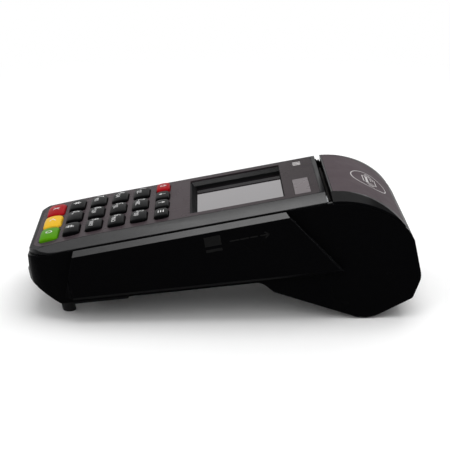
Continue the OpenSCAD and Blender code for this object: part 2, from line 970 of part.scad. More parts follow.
module swipe_rail() {
    side = [
        [rail_toe, -60], [rail_rear + 60 * rail_slant, -60],
        [rail_rear, parting], [rail_front, parting], [rail_toe, -24]];
    color("#1a1a1e")
    on_deck()
    intersection() {
        union() {
            across(rail_in, rail_out, side);
            // Foot that closes the slot from below
            intersection() {
                across(half_w, rail_out, side);
                block([0, 60], [0, 150], [-60, -swipe_depth]);
            }
        }
        // Sloping top
        along(0, 160, [
            [half_w, parting], [rail_in, parting], [rail_out, parting - rail_drop],
            [rail_out, -60], [half_w, -60]]);
        // Bottom edge parallel to the belly, with a chamfer
        on_belly()
            along(-10, 170, [
                [half_w - 1, rail_lift], [rail_out - rail_chamfer, rail_lift],
                [rail_out, rail_lift + rail_chamfer], [rail_out, 60], [half_w - 1, 60]]);
        // The front end sweeps in to the body
        upright(-60, 5, concat(
            [[half_w, 160], [half_w, rail_toe]],
            arc([rail_out, rail_toe], rail_out - half_w, 180, 90, 8),
            [[rail_out, 160]]));
    }
}

// Base plate under the chin, with the front feet in it
module base_plate() {
    color("#1d1d20")
    on_deck()
    difference() {
        across(-base_half, base_half, [
            [chin_y + 0.6, belly_at(chin_y + 0.6)], [base_front, belly_at(base_front) - plate_drop],
            [base_rear, belly_at(base_rear) - plate_drop], [base_rear + 3.6, belly_at(base_rear + 3.6)]]);
        both_sides()
            foot_hole(foot_r + seat);
    }
}

module foot_hole(r) {
    translate([foot_x, foot_y, belly_at(foot_y) + foot_inset - foot_l])
        cylinder(r = r, h = foot_l);
}

module above_table() {
    intersection() {
        children();
        translate([-100, -150, 0])
            cube([200, 300, 100]);
    }
}

module front_feet() {
    color("#101010")
    above_table()
    on_deck()
    both_sides()
        foot_hole(foot_r);
}

// Rear foot: a flat rubber strip along the ridge of the bulge
module rear_pad(grow, z1) {
    translate([-(rail_out - half_w) / 2, ridge_world_y, 0])
        linear_extrude(z1)
            polygon(rounded(box_corners(2 * (rear_foot_half + grow), rear_foot_l + 2 * grow, 2)));
}

module rear_foot_pocket() {
    translate([0, ridge_y, ridge_z])
        rotate([-tilt, 0, 0])
            translate([(rail_out - half_w) / 2, -ridge_world_y, -1])
                rear_pad(seat, rear_foot_t + 1);
}

module rear_foot() {
    color("#101010")
    rear_pad(0, rear_foot_t);
}

module case_screws() {
    color("darkgray")
    on_deck()
    for (y = screw_ys)
        both_sides()
            translate([screw_x, y, post_top - screw_web]) {
                cylinder(r = screw_r, h = 7.2);
                translate([0, 0, -screw_head_t])
                    difference() {
                        cylinder(r = screw_head_r, h = screw_head_t);
                        translate([-0.3, -1.2, -1])
                            cube([0.6, 2.4, 1.7]);
                        translate([-1.2, -0.3, -1])
                            cube([2.4, 0.6, 1.7]);
                    }
            }
}

// Gears: straight teeth with involute flanks
function involute(rb, t) = rb * [cos(t) + t * PI / 180 * sin(t), sin(t) - t * PI / 180 * cos(t)];
function turn(p, a) = [p[0] * cos(a) - p[1] * sin(a), p[0] * sin(a) + p[1] * cos(a)];
pressure = 20;
tooth_play = 0.1;

function flank(n) =
    let(rp = gear_module * n / 2, rb = rp * cos(pressure), ro = rp + gear_tip)
    let(t1 = sqrt(pow(ro / rb, 2) - 1) * 180 / PI)
    let(at_pitch = tan(pressure) * 180 / PI - pressure)
    let(half = 90 / n - tooth_play / rp * 90 / PI)
    [for (i = [0:4]) turn(involute(rb, t1 * i / 4), -half - at_pitch)];

function tooth(n) =
    let(rr = gear_module * n / 2 - 1.2 * gear_module, f = flank(n))
    let(a0 = atan2(f[0][1], f[0][0]))
    concat([rr * [cos(a0), sin(a0)]], f,
        [for (i = [4:-1:0]) [f[i][0], -f[i][1]]], [rr * [cos(a0), -sin(a0)]]);

function gear_outline(n, phase) =
    [for (k = [0:n - 1]) each [for (p = tooth(n)) turn(p, phase + 360 * k / n)]];

module gear(c, n, phase, bore) {
    translate([gear_x - gear_w, c[0], c[1]])
        rotate([90, 0, 90])
            difference() {
                linear_extrude(gear_w)
                    polygon(gear_outline(n, phase));
                translate([0, 0, -1])
                    cylinder(r = bore, h = gear_w + 2);
            }
}

// A tooth of the reduction gear points at a gap of each neighbour
reduction_phase = lift_dir;
platen_phase = lift_dir + 180 + 180 / platen_teeth;
pinion_phase = pinion_dir + 180 + 180 / pinion_teeth
    - (reduction_phase - pinion_dir) * reduction_teeth / pinion_teeth;

module platen_gear() {
    color("#d8d4c8")
    on_deck()
    gear(platen_c, platen_teeth, platen_phase, platen_shaft_r);
}

module reduction_gear() {
    color("#d8d4c8")
    on_deck()
    gear(reduction_c, reduction_teeth, reduction_phase, gear_stud_r + run);
}

module motor_pinion() {
    color("goldenrod")
    on_deck()
    gear(pinion_c, pinion_teeth, pinion_phase, motor_shaft_r + run);
}

module stepper_motor() {
    color("silver")
    on_deck()
    union() {
        axle(pinion_c, motor_r, -frame_in, -frame_in + motor_l, 64);
        axle(pinion_c, motor_boss_r, -frame_out, -frame_in + 0.2);
        axle(pinion_c, motor_shaft_r, gear_x - gear_w, -frame_in);
    }
}

module platen_roller() {
    color("#232323")
    on_deck()
    union() {
        axle(platen_c, platen_r, -platen_half, platen_half, 96);
        axle(platen_c, platen_shaft_r, gear_x - gear_w, frame_out + 0.6);
    }
}

module platen_bushings() {
    color("#c9c4b4")
    on_deck()
    both_sides()
        difference() {
            axle(platen_c, bushing_r, frame_in - 0.2, frame_out + 0.2);
            axle(platen_c, platen_shaft_r + run, frame_in - 2, frame_out + 2);
        }
}

// Printer frame: two side plates, a floor, a front wall and a wall for the heat sink
module printer_frame() {
    plate = [
        [frame_front, frame_bottom], [frame_rear - 4, frame_bottom],
        [frame_rear, frame_bottom + 10], [frame_rear, frame_top - 2], [frame_rear - 7, frame_top],
        [sink_rear - sink_t - sink_wall_t, frame_top], [frame_front, frame_top - 5]];
    color("#2a2a2e")
    on_deck()
    difference() {
        union() {
            both_sides()
                across(frame_in, frame_out, plate);
            block([-frame_out, frame_out], [frame_front, frame_front + frame_floor_l],
                [frame_bottom, frame_bottom + frame_floor_t]);
            block([-frame_in, frame_in], [sink_rear - sink_t - sink_wall_t, sink_rear - sink_t],
                [head_bottom, frame_top - 1.6]);
            axle(reduction_c, gear_stud_r, gear_x - gear_w, -frame_in);
        }
        // Notches that let the roller's bushings lift out
        both_sides() {
            axle(platen_c, bushing_r + slip, frame_in - 1, frame_out + 1);
            translate([frame_in - 1, platen_c[0], platen_c[1]])
                rotate([lift_dir, 0, 0])
                    translate([0, 0, -bushing_r - slip])
                        cube([frame_t + 2, 20, 2 * (bushing_r + slip)]);
        }
        axle(pinion_c, motor_boss_r + seat, -frame_out - 1, -frame_in + 1);
    }
}

module thermal_head() {
    color("#d7cfc0")
    on_deck()
    block([-head_half, head_half], [sink_rear, head_face], [head_bottom, frame_top - 0.2]);
}

module heat_sink() {
    color("silver")
    on_deck()
    block([-head_half - 1.4, head_half + 1.4], [sink_rear - sink_t, sink_rear],
        [head_bottom - 2.4, frame_top - 0.4]);
}

// Tear bar with a saw edge along the front of the paper slot
tear_teeth = 28;
tear_half = 29;
module tear_bar() {
    pitch = 2 * tear_half / tear_teeth;
    color("#55565a")
    on_deck()
    along(upper_len, upper_len + 0.6, concat(
        [[-tear_half, 0.6], [tear_half, 0.6]],
        [for (i = [tear_teeth:-1:1]) each [
            [-tear_half + pitch * i, deck_h - 1.4], [-tear_half + pitch * (i - 0.5), deck_h - 0.5]]],
        [[-tear_half, deck_h - 1.4]]));
}

module paper_roll() {
    color("white")
    on_deck()
    difference() {
        axle(paper_c, paper_r, -paper_w / 2, paper_w / 2, 120);
        axle(paper_c, paper_core_r, -paper_w, paper_w, 64);
    }
}

// Printer cover
module cover_cone(d) {
    translate([0, rim_c[0], rim_c[1]])
        rotate([0, 90, 0])
            rotate_extrude($fn = 180)
                polygon([
                    [0, -half_w + d], [rim_r - d, -half_w + d],
                    [rim_r - d + deck_h - 0.5, -deck_half], [rim_r - d + deck_h - 0.5, deck_half],
                    [rim_r - d, half_w - d], [0, half_w - d]]);
}

module printer_cover() {
    color("#19191c")
    on_deck()
    difference() {
        union() {
            // Top and rims, which stand on the side walls
            difference() {
                intersection() {
                    axle(cover_c, cover_r, -half_w, half_w, 180);
                    cover_cone(0);
                    block([-half_w, half_w], [cover_front, 190], [-40, 20]);
                }
                axle(rim_c, rim_r - rim_edge, -half_w - 1, half_w + 1, 180);
                intersection() {
                    axle(cover_c, cover_r - cover_wall, -inner_w, inner_w, 180);
                    cover_cone(cover_wall);
                }
            }
            // Shell between the side walls, down to the hinge
            difference() {
                intersection() {
                    axle(cover_c, cover_r, -inner_w + slip, inner_w - slip, 180);
                    cover_cone(0);
                    hinge_wedge();
                }
                axle(cover_c, cover_r - cover_wall, -half_w, half_w, 180);
            }
            axle(hinge, barrel_r, -barrel_half, barrel_half);
            // Lip along the paper slot
            intersection() {
                axle(cover_c, cover_r - 0.5, -inner_w, inner_w, 180);
                cover_cone(0.5);
                block([-inner_w, inner_w], [cover_front, cover_front + 1.4], [0, 20]);
            }
            platen_ears();
        }
        // Recess for the inlay
        inlay_shape(seat, 2);
        // Room for the hinge bosses
        both_sides()
            axle(hinge, barrel_r + slip, barrel_half, half_w + 1);
        axle(hinge, hinge_pin_r, -barrel_half - 1, -barrel_half + 6);
        axle(hinge, hinge_pin_r, barrel_half - 6, barrel_half + 1);
        axle(platen_c, platen_shaft_r + run, -ear_in - 5, ear_in + 5);
        // Room for the roller's gear
        axle(platen_c, platen_pitch_r + gear_tip + slip, gear_x - gear_w - slip, gear_x + slip);
    }
}

// Part of the side view behind the slot and above the hinge
module hinge_wedge() {
    across(-half_w, half_w, [
        hinge, [cover_front, -10], [cover_front, 20], cover_c + 60 * [cos(50), sin(50)],
        cover_c + 60 * [cos(hinge_angle), sin(hinge_angle)]]);
}

module platen_ears() {
    both_sides()
        intersection() {
            across(ear_in, ear_in + ear_t, rounded([
                [platen_c[0] - 3, platen_c[1] - 3, 2.8], [platen_c[0] + 3, platen_c[1] - 3, 2.8],
                [platen_c[0] + 8, 10, 0], [platen_c[0] - 3, 10, 0]]));
            axle(cover_c, cover_r - 0.5, 0, half_w, 180);
        }
}

// Inlay: a thin curved plate let into the cover from the slot to the hinge
module inlay_shape(grow, lift) {
    intersection() {
        difference() {
            axle(cover_c, cover_r + lift, -inlay_half - grow, inlay_half + grow, 180);
            axle(cover_c, cover_r - inlay_t, -half_w, half_w, 180);
        }
        across(-half_w, half_w, [
            cover_c, [cover_front + 0.8 - grow, cover_c[1]], [cover_front + 0.8 - grow, 30],
            cover_c + 80 * [cos(50), sin(50)],
            cover_c + 80 * [cos(inlay_end), sin(inlay_end)]]);
    }
}

module cover_inlay() {
    color("#5b5355")
    on_deck()
    inlay_shape(0, 0);
}

module hinge_pins() {
    color("silver")
    on_deck()
    both_sides()
        axle(hinge, hinge_pin_r, barrel_half - 6, inner_w - slip);
}

// Antenna board for contactless cards, under the crown of the cover
antenna_dir = 47;
antenna_half = 9;
antenna_w = 44;
antenna_t = 1;
module antenna_board() {
    r_in = cover_r - cover_wall - 0.2;
    reach_z = sqrt(pow(r_in, 2) - pow(antenna_half, 2));
    color("#1f5a36")
    on_deck()
    translate([0, cover_c[0], cover_c[1]])
        rotate([antenna_dir - 90, 0, 0])
            block([-antenna_w / 2, antenna_w / 2], [-antenna_half, antenna_half],
                [reach_z - antenna_t, reach_z]);
}

red = "#b3202c";
yellow = "#e2b21f";
green = "#4f9f25";
black = "#141416";

lower_case();
upper_case();
face_panel();
swipe_rail();
base_plate();
front_feet();
rear_foot();
case_screws();
keypad_mat();
key_board();
main_board();
board_shield();
coin_cell();
display_lens();
display_module();
status_window();
card_reader();
magnetic_head();
head_spring();
radio_module();
speaker();
battery_pack();
battery_door();
antenna_board();
printer_frame();
thermal_head();
heat_sink();
tear_bar();
stepper_motor();
motor_pinion();
reduction_gear();
power_socket();
data_port();
printer_cover();
cover_inlay();
hinge_pins();
platen_roller();
platen_gear();
platen_bushings();
paper_roll();
key(0, red);  // key_cancel
key(1, yellow);  // key_clear
key(2, green);  // key_enter
key(3, black);  // key_star
key(4, black);  // key_0
key(5, black);  // key_hash
key(6, black);  // key_7
key(7, black);  // key_8
key(8, black);  // key_9
key(9, black);  // key_4
key(10, black);  // key_5
key(11, black);  // key_6
key(12, black);  // key_1
key(13, black);  // key_2
key(14, black);  // key_3
key(15, red);  // key_power
key(16, black);  // key_back
key(17, black);  // key_forward
key(18, black);  // key_menu
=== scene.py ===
import math

import bmesh
import bpy
from mathutils import Matrix, Vector


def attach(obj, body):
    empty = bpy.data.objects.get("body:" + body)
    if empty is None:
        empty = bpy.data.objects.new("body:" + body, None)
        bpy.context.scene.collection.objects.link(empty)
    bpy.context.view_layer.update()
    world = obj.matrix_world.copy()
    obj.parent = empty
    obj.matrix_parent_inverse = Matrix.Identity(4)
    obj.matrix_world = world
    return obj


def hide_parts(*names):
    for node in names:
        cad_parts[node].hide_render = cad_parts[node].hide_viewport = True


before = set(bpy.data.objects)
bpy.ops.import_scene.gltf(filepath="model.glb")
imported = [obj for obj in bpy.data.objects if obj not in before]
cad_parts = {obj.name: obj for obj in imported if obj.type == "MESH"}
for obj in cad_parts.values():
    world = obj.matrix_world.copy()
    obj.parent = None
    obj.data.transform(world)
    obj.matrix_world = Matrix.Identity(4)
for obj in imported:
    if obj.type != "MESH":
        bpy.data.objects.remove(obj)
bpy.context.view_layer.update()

# The table and the room: a pale floor before a white backdrop, lit by four soft boxes. The
# side of the room where the camera stands is dim, so gloss that faces it stays dark.
scene = bpy.context.scene
scene.view_settings.view_transform = "Standard"


def new_material(name):
    """A new material and its node tree, still empty."""
    material = bpy.data.materials.new(name)
    material.use_nodes = True
    tree = material.node_tree
    tree.nodes.clear()
    return material, tree


def add(tree, kind, values=None, links=None, **settings):
    """A node with its settings, socket values and links from other sockets."""
    node = tree.nodes.new(kind)
    for key, value in settings.items():
        setattr(node, key, value)
    for key, value in (values or {}).items():
        node.inputs[key].default_value = value
    for key, socket in (links or {}).items():
        tree.links.new(socket, node.inputs[key])
    return node


def seen_rays(tree):
    """1 for rays from the camera and for those that pass through glass."""
    path = add(tree, "ShaderNodeLightPath")
    seen = add(tree, "ShaderNodeMath", operation="MAXIMUM",
               links={0: path.outputs["Is Camera Ray"], 1: path.outputs["Is Transmission Ray"]})
    return seen.outputs[0]


def gloss_rays(tree):
    """1 for rays that gloss sends out."""
    return add(tree, "ShaderNodeLightPath").outputs["Is Glossy Ray"]


FLOOR_HALF = 6.0
ROOM_LIGHT = 0.62
DIM_SIDE = 0.05
DIM_SKY = (-0.25, 0.25)
DIM_FLOOR = (-0.12, 0.05)
SHADOW_FADE = (0.16, 0.6)

world = bpy.data.worlds.new("surround")
scene.world = world
world.use_nodes = True
tree = world.node_tree
tree.nodes.clear()
soft = add(tree, "ShaderNodeBackground", {"Color": (1, 1, 1, 1), "Strength": ROOM_LIGHT})
white = add(tree, "ShaderNodeBackground", {"Color": (1, 1, 1, 1), "Strength": 1.0})
way = add(tree, "ShaderNodeTexCoord")
way = add(tree, "ShaderNodeSeparateXYZ", links={"Vector": way.outputs["Generated"]})
side = add(tree, "ShaderNodeMapRange", {"From Min": DIM_SKY[0], "From Max": DIM_SKY[1],
                                        "To Min": 1.0, "To Max": DIM_SIDE},
           {"Value": way.outputs["X"]})
room = add(tree, "ShaderNodeBackground", {"Color": (1, 1, 1, 1)}, {"Strength": side.outputs[0]})
mix = add(tree, "ShaderNodeMixShader",
          links={"Fac": gloss_rays(tree), 1: soft.outputs[0], 2: room.outputs[0]})
mix = add(tree, "ShaderNodeMixShader",
          links={"Fac": seen_rays(tree), 1: mix.outputs[0], 2: white.outputs[0]})
add(tree, "ShaderNodeOutputWorld", links={"Surface": mix.outputs[0]})

floor_finish, tree = new_material("floor")
place = add(tree, "ShaderNodeTexCoord")
specks = add(tree, "ShaderNodeTexNoise", {"Scale": 40.0, "Detail": 3.0},
             {"Vector": place.outputs["Object"]})
tone = add(tree, "ShaderNodeMapRange", {"To Min": 0.93, "To Max": 0.95},
           {"Value": specks.outputs["Fac"]})
matt = add(tree, "ShaderNodeBsdfPrincipled", {"Roughness": 0.8},
           {"Base Color": tone.outputs[0]})
glow = add(tree, "ShaderNodeEmission", {"Color": (1, 1, 1, 1), "Strength": 1.0})
reach = add(tree, "ShaderNodeVectorMath", operation="LENGTH",
            links={0: place.outputs["Object"]})
fade = add(tree, "ShaderNodeMapRange", {"From Min": SHADOW_FADE[0], "From Max": SHADOW_FADE[1]},
           {"Value": reach.outputs["Value"]})
shown = add(tree, "ShaderNodeMath", operation="MULTIPLY",
            links={0: fade.outputs[0], 1: seen_rays(tree)})
mix = add(tree, "ShaderNodeMixShader",
          links={"Fac": shown.outputs[0], 1: matt.outputs[0], 2: glow.outputs[0]})
way = add(tree, "ShaderNodeSeparateXYZ", links={"Vector": place.outputs["Object"]})
side = add(tree, "ShaderNodeMapRange", {"From Min": DIM_FLOOR[0], "From Max": DIM_FLOOR[1],
                                        "To Min": 1.0, "To Max": DIM_SIDE},
           {"Value": way.outputs["X"]})
mirrored = add(tree, "ShaderNodeEmission", {"Color": (1, 1, 1, 1)}, {"Strength": side.outputs[0]})
mix = add(tree, "ShaderNodeMixShader",
          links={"Fac": gloss_rays(tree), 1: mix.outputs[0], 2: mirrored.outputs[0]})
add(tree, "ShaderNodeOutputMaterial", links={"Surface": mix.outputs[0]})

mesh = bpy.data.meshes.new("floor")
bm = bmesh.new()
bmesh.ops.create_grid(bm, x_segments=1, y_segments=1, size=FLOOR_HALF)
bm.to_mesh(mesh)
bm.free()
mesh.materials.append(floor_finish)
floor = bpy.data.objects.new("floor", mesh)
scene.collection.objects.link(floor)


def soft_box(name, place, aim, size, power):
    """A square area lamp at a place, turned towards a point of the table."""
    lamp = bpy.data.lights.new(name, "AREA")
    lamp.shape = "SQUARE"
    lamp.size = size
    lamp.energy = power
    lit = bpy.data.objects.new(name, lamp)
    scene.collection.objects.link(lit)
    lit.location = place
    lit.rotation_euler = (Vector(aim) - Vector(place)).to_track_quat("-Z", "Y").to_euler()
    return lit


soft_box("lamp_over", (0.0, 0.15, 1.3), (0, 0, 0.03), 1.1, 9.0)
soft_box("lamp_right", (0.9, -0.7, 0.7), (0, 0, 0.03), 0.7, 3.0).visible_glossy = False
soft_box("lamp_left", (-0.8, 0.5, 0.9), (0, 0, 0.03), 0.8, 3.0).visible_glossy = False
soft_box("lamp_band", (0.56, -0.215, 0.725), (0.035, -0.018, 0.037), 0.18, 0.2)

CAMERA_PLACE = (0.6454, -0.0105, 0.2400)
CAMERA_DOWN = 17.63
CAMERA_TURN = 1.05
CAMERA_LENS = 112.0
lens = bpy.data.cameras.new("camera")
lens.lens = CAMERA_LENS
lens.sensor_width = 36.0
lens.clip_start = 0.01
camera = bpy.data.objects.new("camera", lens)
scene.collection.objects.link(camera)
camera.location = CAMERA_PLACE
camera.rotation_euler = (math.radians(90 - CAMERA_DOWN), 0, math.radians(90 - CAMERA_TURN))
scene.camera = camera

# Lower half shell: one injection-moulded piece of glossy black ABS with the belly, the chin
# and the bulge round the paper roll. Its edges are broken by a small radius in the mould.
DECK_SLOPE = math.radians(10.6)
RIDGE = (0.148, -0.0584)
deck = (Matrix.Translation((-0.0026, 0.065112, 0))
        @ Matrix.Rotation(DECK_SLOPE, 4, "X")
        @ Matrix.Translation((0, -RIDGE[0], -RIDGE[1])))
from_deck = deck.inverted()
HALF_W = 0.0385


def group(name, inputs, outputs):
    """A shader node group with its sockets; the caller fills it in."""
    tree = bpy.data.node_groups.new(name, "ShaderNodeTree")
    for label, kind, value in inputs:
        socket = tree.interface.new_socket(label, in_out="INPUT", socket_type=kind)
        if value is not None:
            socket.default_value = value
    for label, kind in outputs:
        tree.interface.new_socket(label, in_out="OUTPUT", socket_type=kind)
    return tree, tree.nodes.new("NodeGroupInput"), tree.nodes.new("NodeGroupOutput")


FLOAT = "NodeSocketFloat"

# Mould grain: fine pits from the spark-eroded tool, and slow waves from the plastic's shrinkage
grain, inside, outside = group(
    "mould_grain",
    [("Scale", FLOAT, 2500.0), ("Pits", FLOAT, 1.0), ("Waves", FLOAT, 0.3)],
    [("Height", FLOAT), ("Fleck", FLOAT)])
place = add(grain, "ShaderNodeTexCoord")
pits = add(grain, "ShaderNodeTexNoise", {"Detail": 4.0, "Roughness": 0.6},
           {"Vector": place.outputs["Object"], "Scale": inside.outputs["Scale"]})
cells = add(grain, "ShaderNodeTexVoronoi", {"Randomness": 1.0},
            {"Vector": place.outputs["Object"], "Scale": inside.outputs["Scale"]})
waves = add(grain, "ShaderNodeTexNoise", {"Scale": 55.0, "Detail": 1.0},
            {"Vector": place.outputs["Object"]})
both = add(grain, "ShaderNodeMath", operation="MULTIPLY",
           links={0: pits.outputs["Fac"], 1: cells.outputs["Distance"]})
deep = add(grain, "ShaderNodeMath", operation="MULTIPLY",
           links={0: both.outputs[0], 1: inside.outputs["Pits"]})
slow = add(grain, "ShaderNodeMath", operation="MULTIPLY",
           links={0: waves.outputs["Fac"], 1: inside.outputs["Waves"]})
high = add(grain, "ShaderNodeMath", operation="ADD", links={0: deep.outputs[0], 1: slow.outputs[0]})
grain.links.new(high.outputs[0], outside.inputs["Height"])
grain.links.new(both.outputs[0], outside.inputs["Fleck"])

# Handling: faint finger smears and dust that change the gloss from place to place
handling, inside, outside = group(
    "handling",
    [("Gloss", FLOAT, 0.2), ("Spread", FLOAT, 0.1), ("Scale", FLOAT, 60.0)],
    [("Roughness", FLOAT), ("Smear", FLOAT)])
place = add(handling, "ShaderNodeTexCoord")
smear = add(handling, "ShaderNodeTexNoise",
            {"Detail": 5.0, "Roughness": 0.55, "Distortion": 0.8},
            {"Vector": place.outputs["Object"], "Scale": inside.outputs["Scale"]})
mask = add(handling, "ShaderNodeMapRange", {"From Min": 0.35, "From Max": 0.7},
           {"Value": smear.outputs["Fac"]})
rise = add(handling, "ShaderNodeMath", operation="MULTIPLY_ADD",
           links={0: mask.outputs[0], 1: inside.outputs["Spread"], 2: inside.outputs["Gloss"]})
handling.links.new(rise.outputs[0], outside.inputs["Roughness"])
handling.links.new(mask.outputs[0], outside.inputs["Smear"])

# Worn edges: where a rounded edge turns, the gloss is rubbed off and the plastic goes paler
wear, inside, outside = group(
    "edge_wear",
    [("Radius", FLOAT, 0.0006), ("Amount", FLOAT, 1.0)],
    [("Edge", FLOAT)])
place = add(wear, "ShaderNodeTexCoord")
round_off = add(wear, "ShaderNodeBevel", samples=4, links={"Radius": inside.outputs["Radius"]})
facing = add(wear, "ShaderNodeNewGeometry")
turned = add(wear, "ShaderNodeVectorMath", operation="DOT_PRODUCT",
             links={0: round_off.outputs[0], 1: facing.outputs["Normal"]})
edge = add(wear, "ShaderNodeMapRange", {"From Min": 0.995, "From Max": 0.86},
           {"Value": turned.outputs["Value"]})
patchy = add(wear, "ShaderNodeTexNoise", {"Scale": 700.0, "Detail": 3.0},
             {"Vector": place.outputs["Object"]})
uneven = add(wear, "ShaderNodeMapRange", {"From Min": 0.3, "From Max": 0.65, "To Min": 0.35},
             {"Value": patchy.outputs["Fac"]})
rubbed = add(wear, "ShaderNodeMath", operation="MULTIPLY",
             links={0: edge.outputs[0], 1: uneven.outputs[0]})
level = add(wear, "ShaderNodeMath", operation="MULTIPLY",
            links={0: rubbed.outputs[0], 1: inside.outputs["Amount"]})
wear.links.new(level.outputs[0], outside.inputs["Edge"])


def use(tree, node_group, values=None):
    """A node that holds a group, with its socket values."""
    node = tree.nodes.new("ShaderNodeGroup")
    node.node_tree = node_group
    for key, value in (values or {}).items():
        node.inputs[key].default_value = value
    return node


def blend_colours(tree, fac, first, second):
    """Mixes two colours, each a value or a socket, by a socket."""
    node = tree.nodes.new("ShaderNodeMix")
    node.data_type = "RGBA"
    tree.links.new(fac, node.inputs["Factor"])
    for key, colour in (("A", first), ("B", second)):
        socket = [i for i in node.inputs if i.name == key and i.type == "RGBA"][0]
        if isinstance(colour, bpy.types.NodeSocket):
            tree.links.new(colour, socket)
        else:
            socket.default_value = colour
    return [o for o in node.outputs if o.type == "RGBA"][0]


def moulded(name, colour, fleck, edge, gloss=0.3, spread=0.12, specular=0.5,
            scale=2500.0, pits=1.0, waves=0.3, depth=0.00004, worn=0.6, radius=0.0006):
    """Moulded plastic: a base colour with flecks, smears and rubbed edges."""
    material, tree = new_material(name)
    skin = use(tree, grain, {"Scale": scale, "Pits": pits, "Waves": waves})
    touch = use(tree, handling, {"Gloss": gloss, "Spread": spread})
    rub = use(tree, wear, {"Radius": radius, "Amount": worn})
    flecked = blend_colours(tree, skin.outputs["Fleck"], colour, fleck)
    rubbed = blend_colours(tree, rub.outputs["Edge"], flecked, edge)
    bump = add(tree, "ShaderNodeBump", {"Strength": 0.35, "Distance": depth},
               {"Height": skin.outputs["Height"]})
    surface = add(tree, "ShaderNodeBsdfPrincipled", {"Specular IOR Level": specular},
                  {"Base Color": rubbed, "Roughness": touch.outputs["Roughness"],
                   "Normal": bump.outputs["Normal"]})
    add(tree, "ShaderNodeOutputMaterial", links={"Surface": surface.outputs[0]})
    return material


def finished(piece, material, body):
    """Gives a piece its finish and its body."""
    piece.data.materials.clear()
    piece.data.materials.append(material)
    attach(piece, body)
    return piece


def smooth_faces(bm, angle=30):
    """Smooth shading that keeps the edges which turn by more than an angle."""
    for face in bm.faces:
        face.smooth = True
    for edge in bm.edges:
        turn = edge.calc_face_angle(0.0) if len(edge.link_faces) == 2 else math.pi
        edge.smooth = turn < math.radians(angle)


def as_piece(name, bm):
    """A mesh object at the origin from a bmesh in the row frame."""
    mesh = bpy.data.meshes.new(name)
    bm.to_mesh(mesh)
    bm.free()
    piece = bpy.data.objects.new(name, mesh)
    scene.collection.objects.link(piece)
    return piece


def eased(node, name, width, where=None, segments=3, angle=35, flat=0.6):
    """A copy of a CAD node whose sharp edges are rounded; where picks the edges."""
    bm = bmesh.new()
    bm.from_mesh(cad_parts[node].data)
    bmesh.ops.remove_doubles(bm, verts=bm.verts, dist=2e-6)
    bmesh.ops.dissolve_limit(bm, angle_limit=math.radians(flat), verts=bm.verts, edges=bm.edges)
    bm.normal_update()
    sharp = [e for e in bm.edges if len(e.link_faces) == 2
             and e.calc_face_angle(0.0) > math.radians(angle)
             and (where is None or where([from_deck @ v.co for v in e.verts]))]
    bmesh.ops.bevel(bm, geom=sharp, offset=width, offset_type="OFFSET", segments=segments,
                    profile=0.5, affect="EDGES", clamp_overlap=True, material=-1)
    smooth_faces(bm)
    piece = as_piece(name, bm)
    even = piece.modifiers.new("even shading", "WEIGHTED_NORMAL")
    even.keep_sharp = True
    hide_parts(node)
    return piece


def linear(r, g, b):
    """A colour as read off a screen, 0 to 255, as Blender's linear values."""
    def one(v):
        v = v / 255
        return v / 12.92 if v <= 0.04045 else ((v + 0.055) / 1.055) ** 2.4
    return (one(r), one(g), one(b), 1)


black_gloss = moulded("black_gloss", linear(5, 5, 6), linear(8, 8, 9),
                      linear(30, 30, 32), gloss=0.16, spread=0.14, specular=0.06,
                      pits=0.25, waves=0.9, depth=0.00003, worn=0.3)
ON_WALL = 0.0004
GROOVE_Z = -0.0045
NOSE_CORNER = (0.0095, 0.012)


def outside_edge(points):
    """True for the edges of the side walls and of the nose's corners below the groove."""
    on_walls = all(abs(abs(p.x) - HALF_W) < ON_WALL for p in points)
    return on_walls or all(p.z < GROOVE_Z and abs(p.x) > HALF_W - NOSE_CORNER[0]
                           and p.y < NOSE_CORNER[1] for p in points)


shell = eased("lower_case", "lower_shell", 0.0011, outside_edge)
finished(shell, black_gloss, "case")

# Upper half shell: moulded in dark grey with a satin spark texture. It shows as the sloping
# band round the deck, and its groove over the lower shell reads as one dark line.
grey_satin = moulded("grey_satin", linear(20, 20, 21), linear(28, 28, 30),
                     linear(60, 60, 62), gloss=0.2, spread=0.06, specular=0.5,
                     scale=3200.0, pits=1.0, depth=0.00003, worn=0.3)
DECK_TOP = 0.004
FALL_FROM = 0.036
FALL_R = 0.4058


def deck_top(y):
    """Height of the deck's top, which falls away to the nose in a long curve."""
    if y > FALL_FROM:
        return DECK_TOP
    return DECK_TOP - FALL_R + math.sqrt(FALL_R ** 2 - (FALL_FROM - y) ** 2)


ON_TOP = 0.0003
BAND_SIDE = 0.0381
NOSE_FACE = 0.0012


def band_edge(points):
    """True for the edges round the top of the deck, along its sides and at its nose."""
    return all(p.z > deck_top(p.y) - ON_TOP or abs(p.x) > BAND_SIDE or p.y < NOSE_FACE
               for p in points)


def painted_light_by_facing(piece, material, chosen):
    """Paints light and shade: faces that turn a given way in the deck's frame get a second
    material.
    """
    piece.data.materials.append(material)
    turn = from_deck.to_3x3()
    for face in piece.data.polygons:
        if chosen(turn @ face.normal):
            face.material_index = 1


band = eased("upper_case", "deck_band", 0.00035, band_edge, flat=0.2)
finished(band, grey_satin, "case")
# A darker, duller copy of the band's plastic for its flat rim and rear-facing faces: painted shade.
rim_painted_light = moulded("rim_painted_light", linear(13, 13, 14), linear(20, 20, 22), linear(44, 44, 46),
                   gloss=0.3, spread=0.08, specular=0.03, scale=3200.0, depth=0.00003, worn=0.2)
painted_light_by_facing(band, rim_painted_light, lambda way: way.z > 0.9 or way.y > 0.3)

# Well foot: a thin black frame at the foot of the display well, along the joint between the
# sloping walls and the glass. Its black is painted shade, standing for the dark gap there.
WELL = ((-0.0275, 0.0275), (0.0777, 0.1225))
WELL_TAPER = 0.0024
WELL_FOOT = 0.0002


def added(name, bm, material, body):
    """A piece that no CAD node has, with its finish, riding on a body."""
    piece = as_piece(name, bm)
    piece.data.materials.append(material)
    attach(piece, body)
    return piece
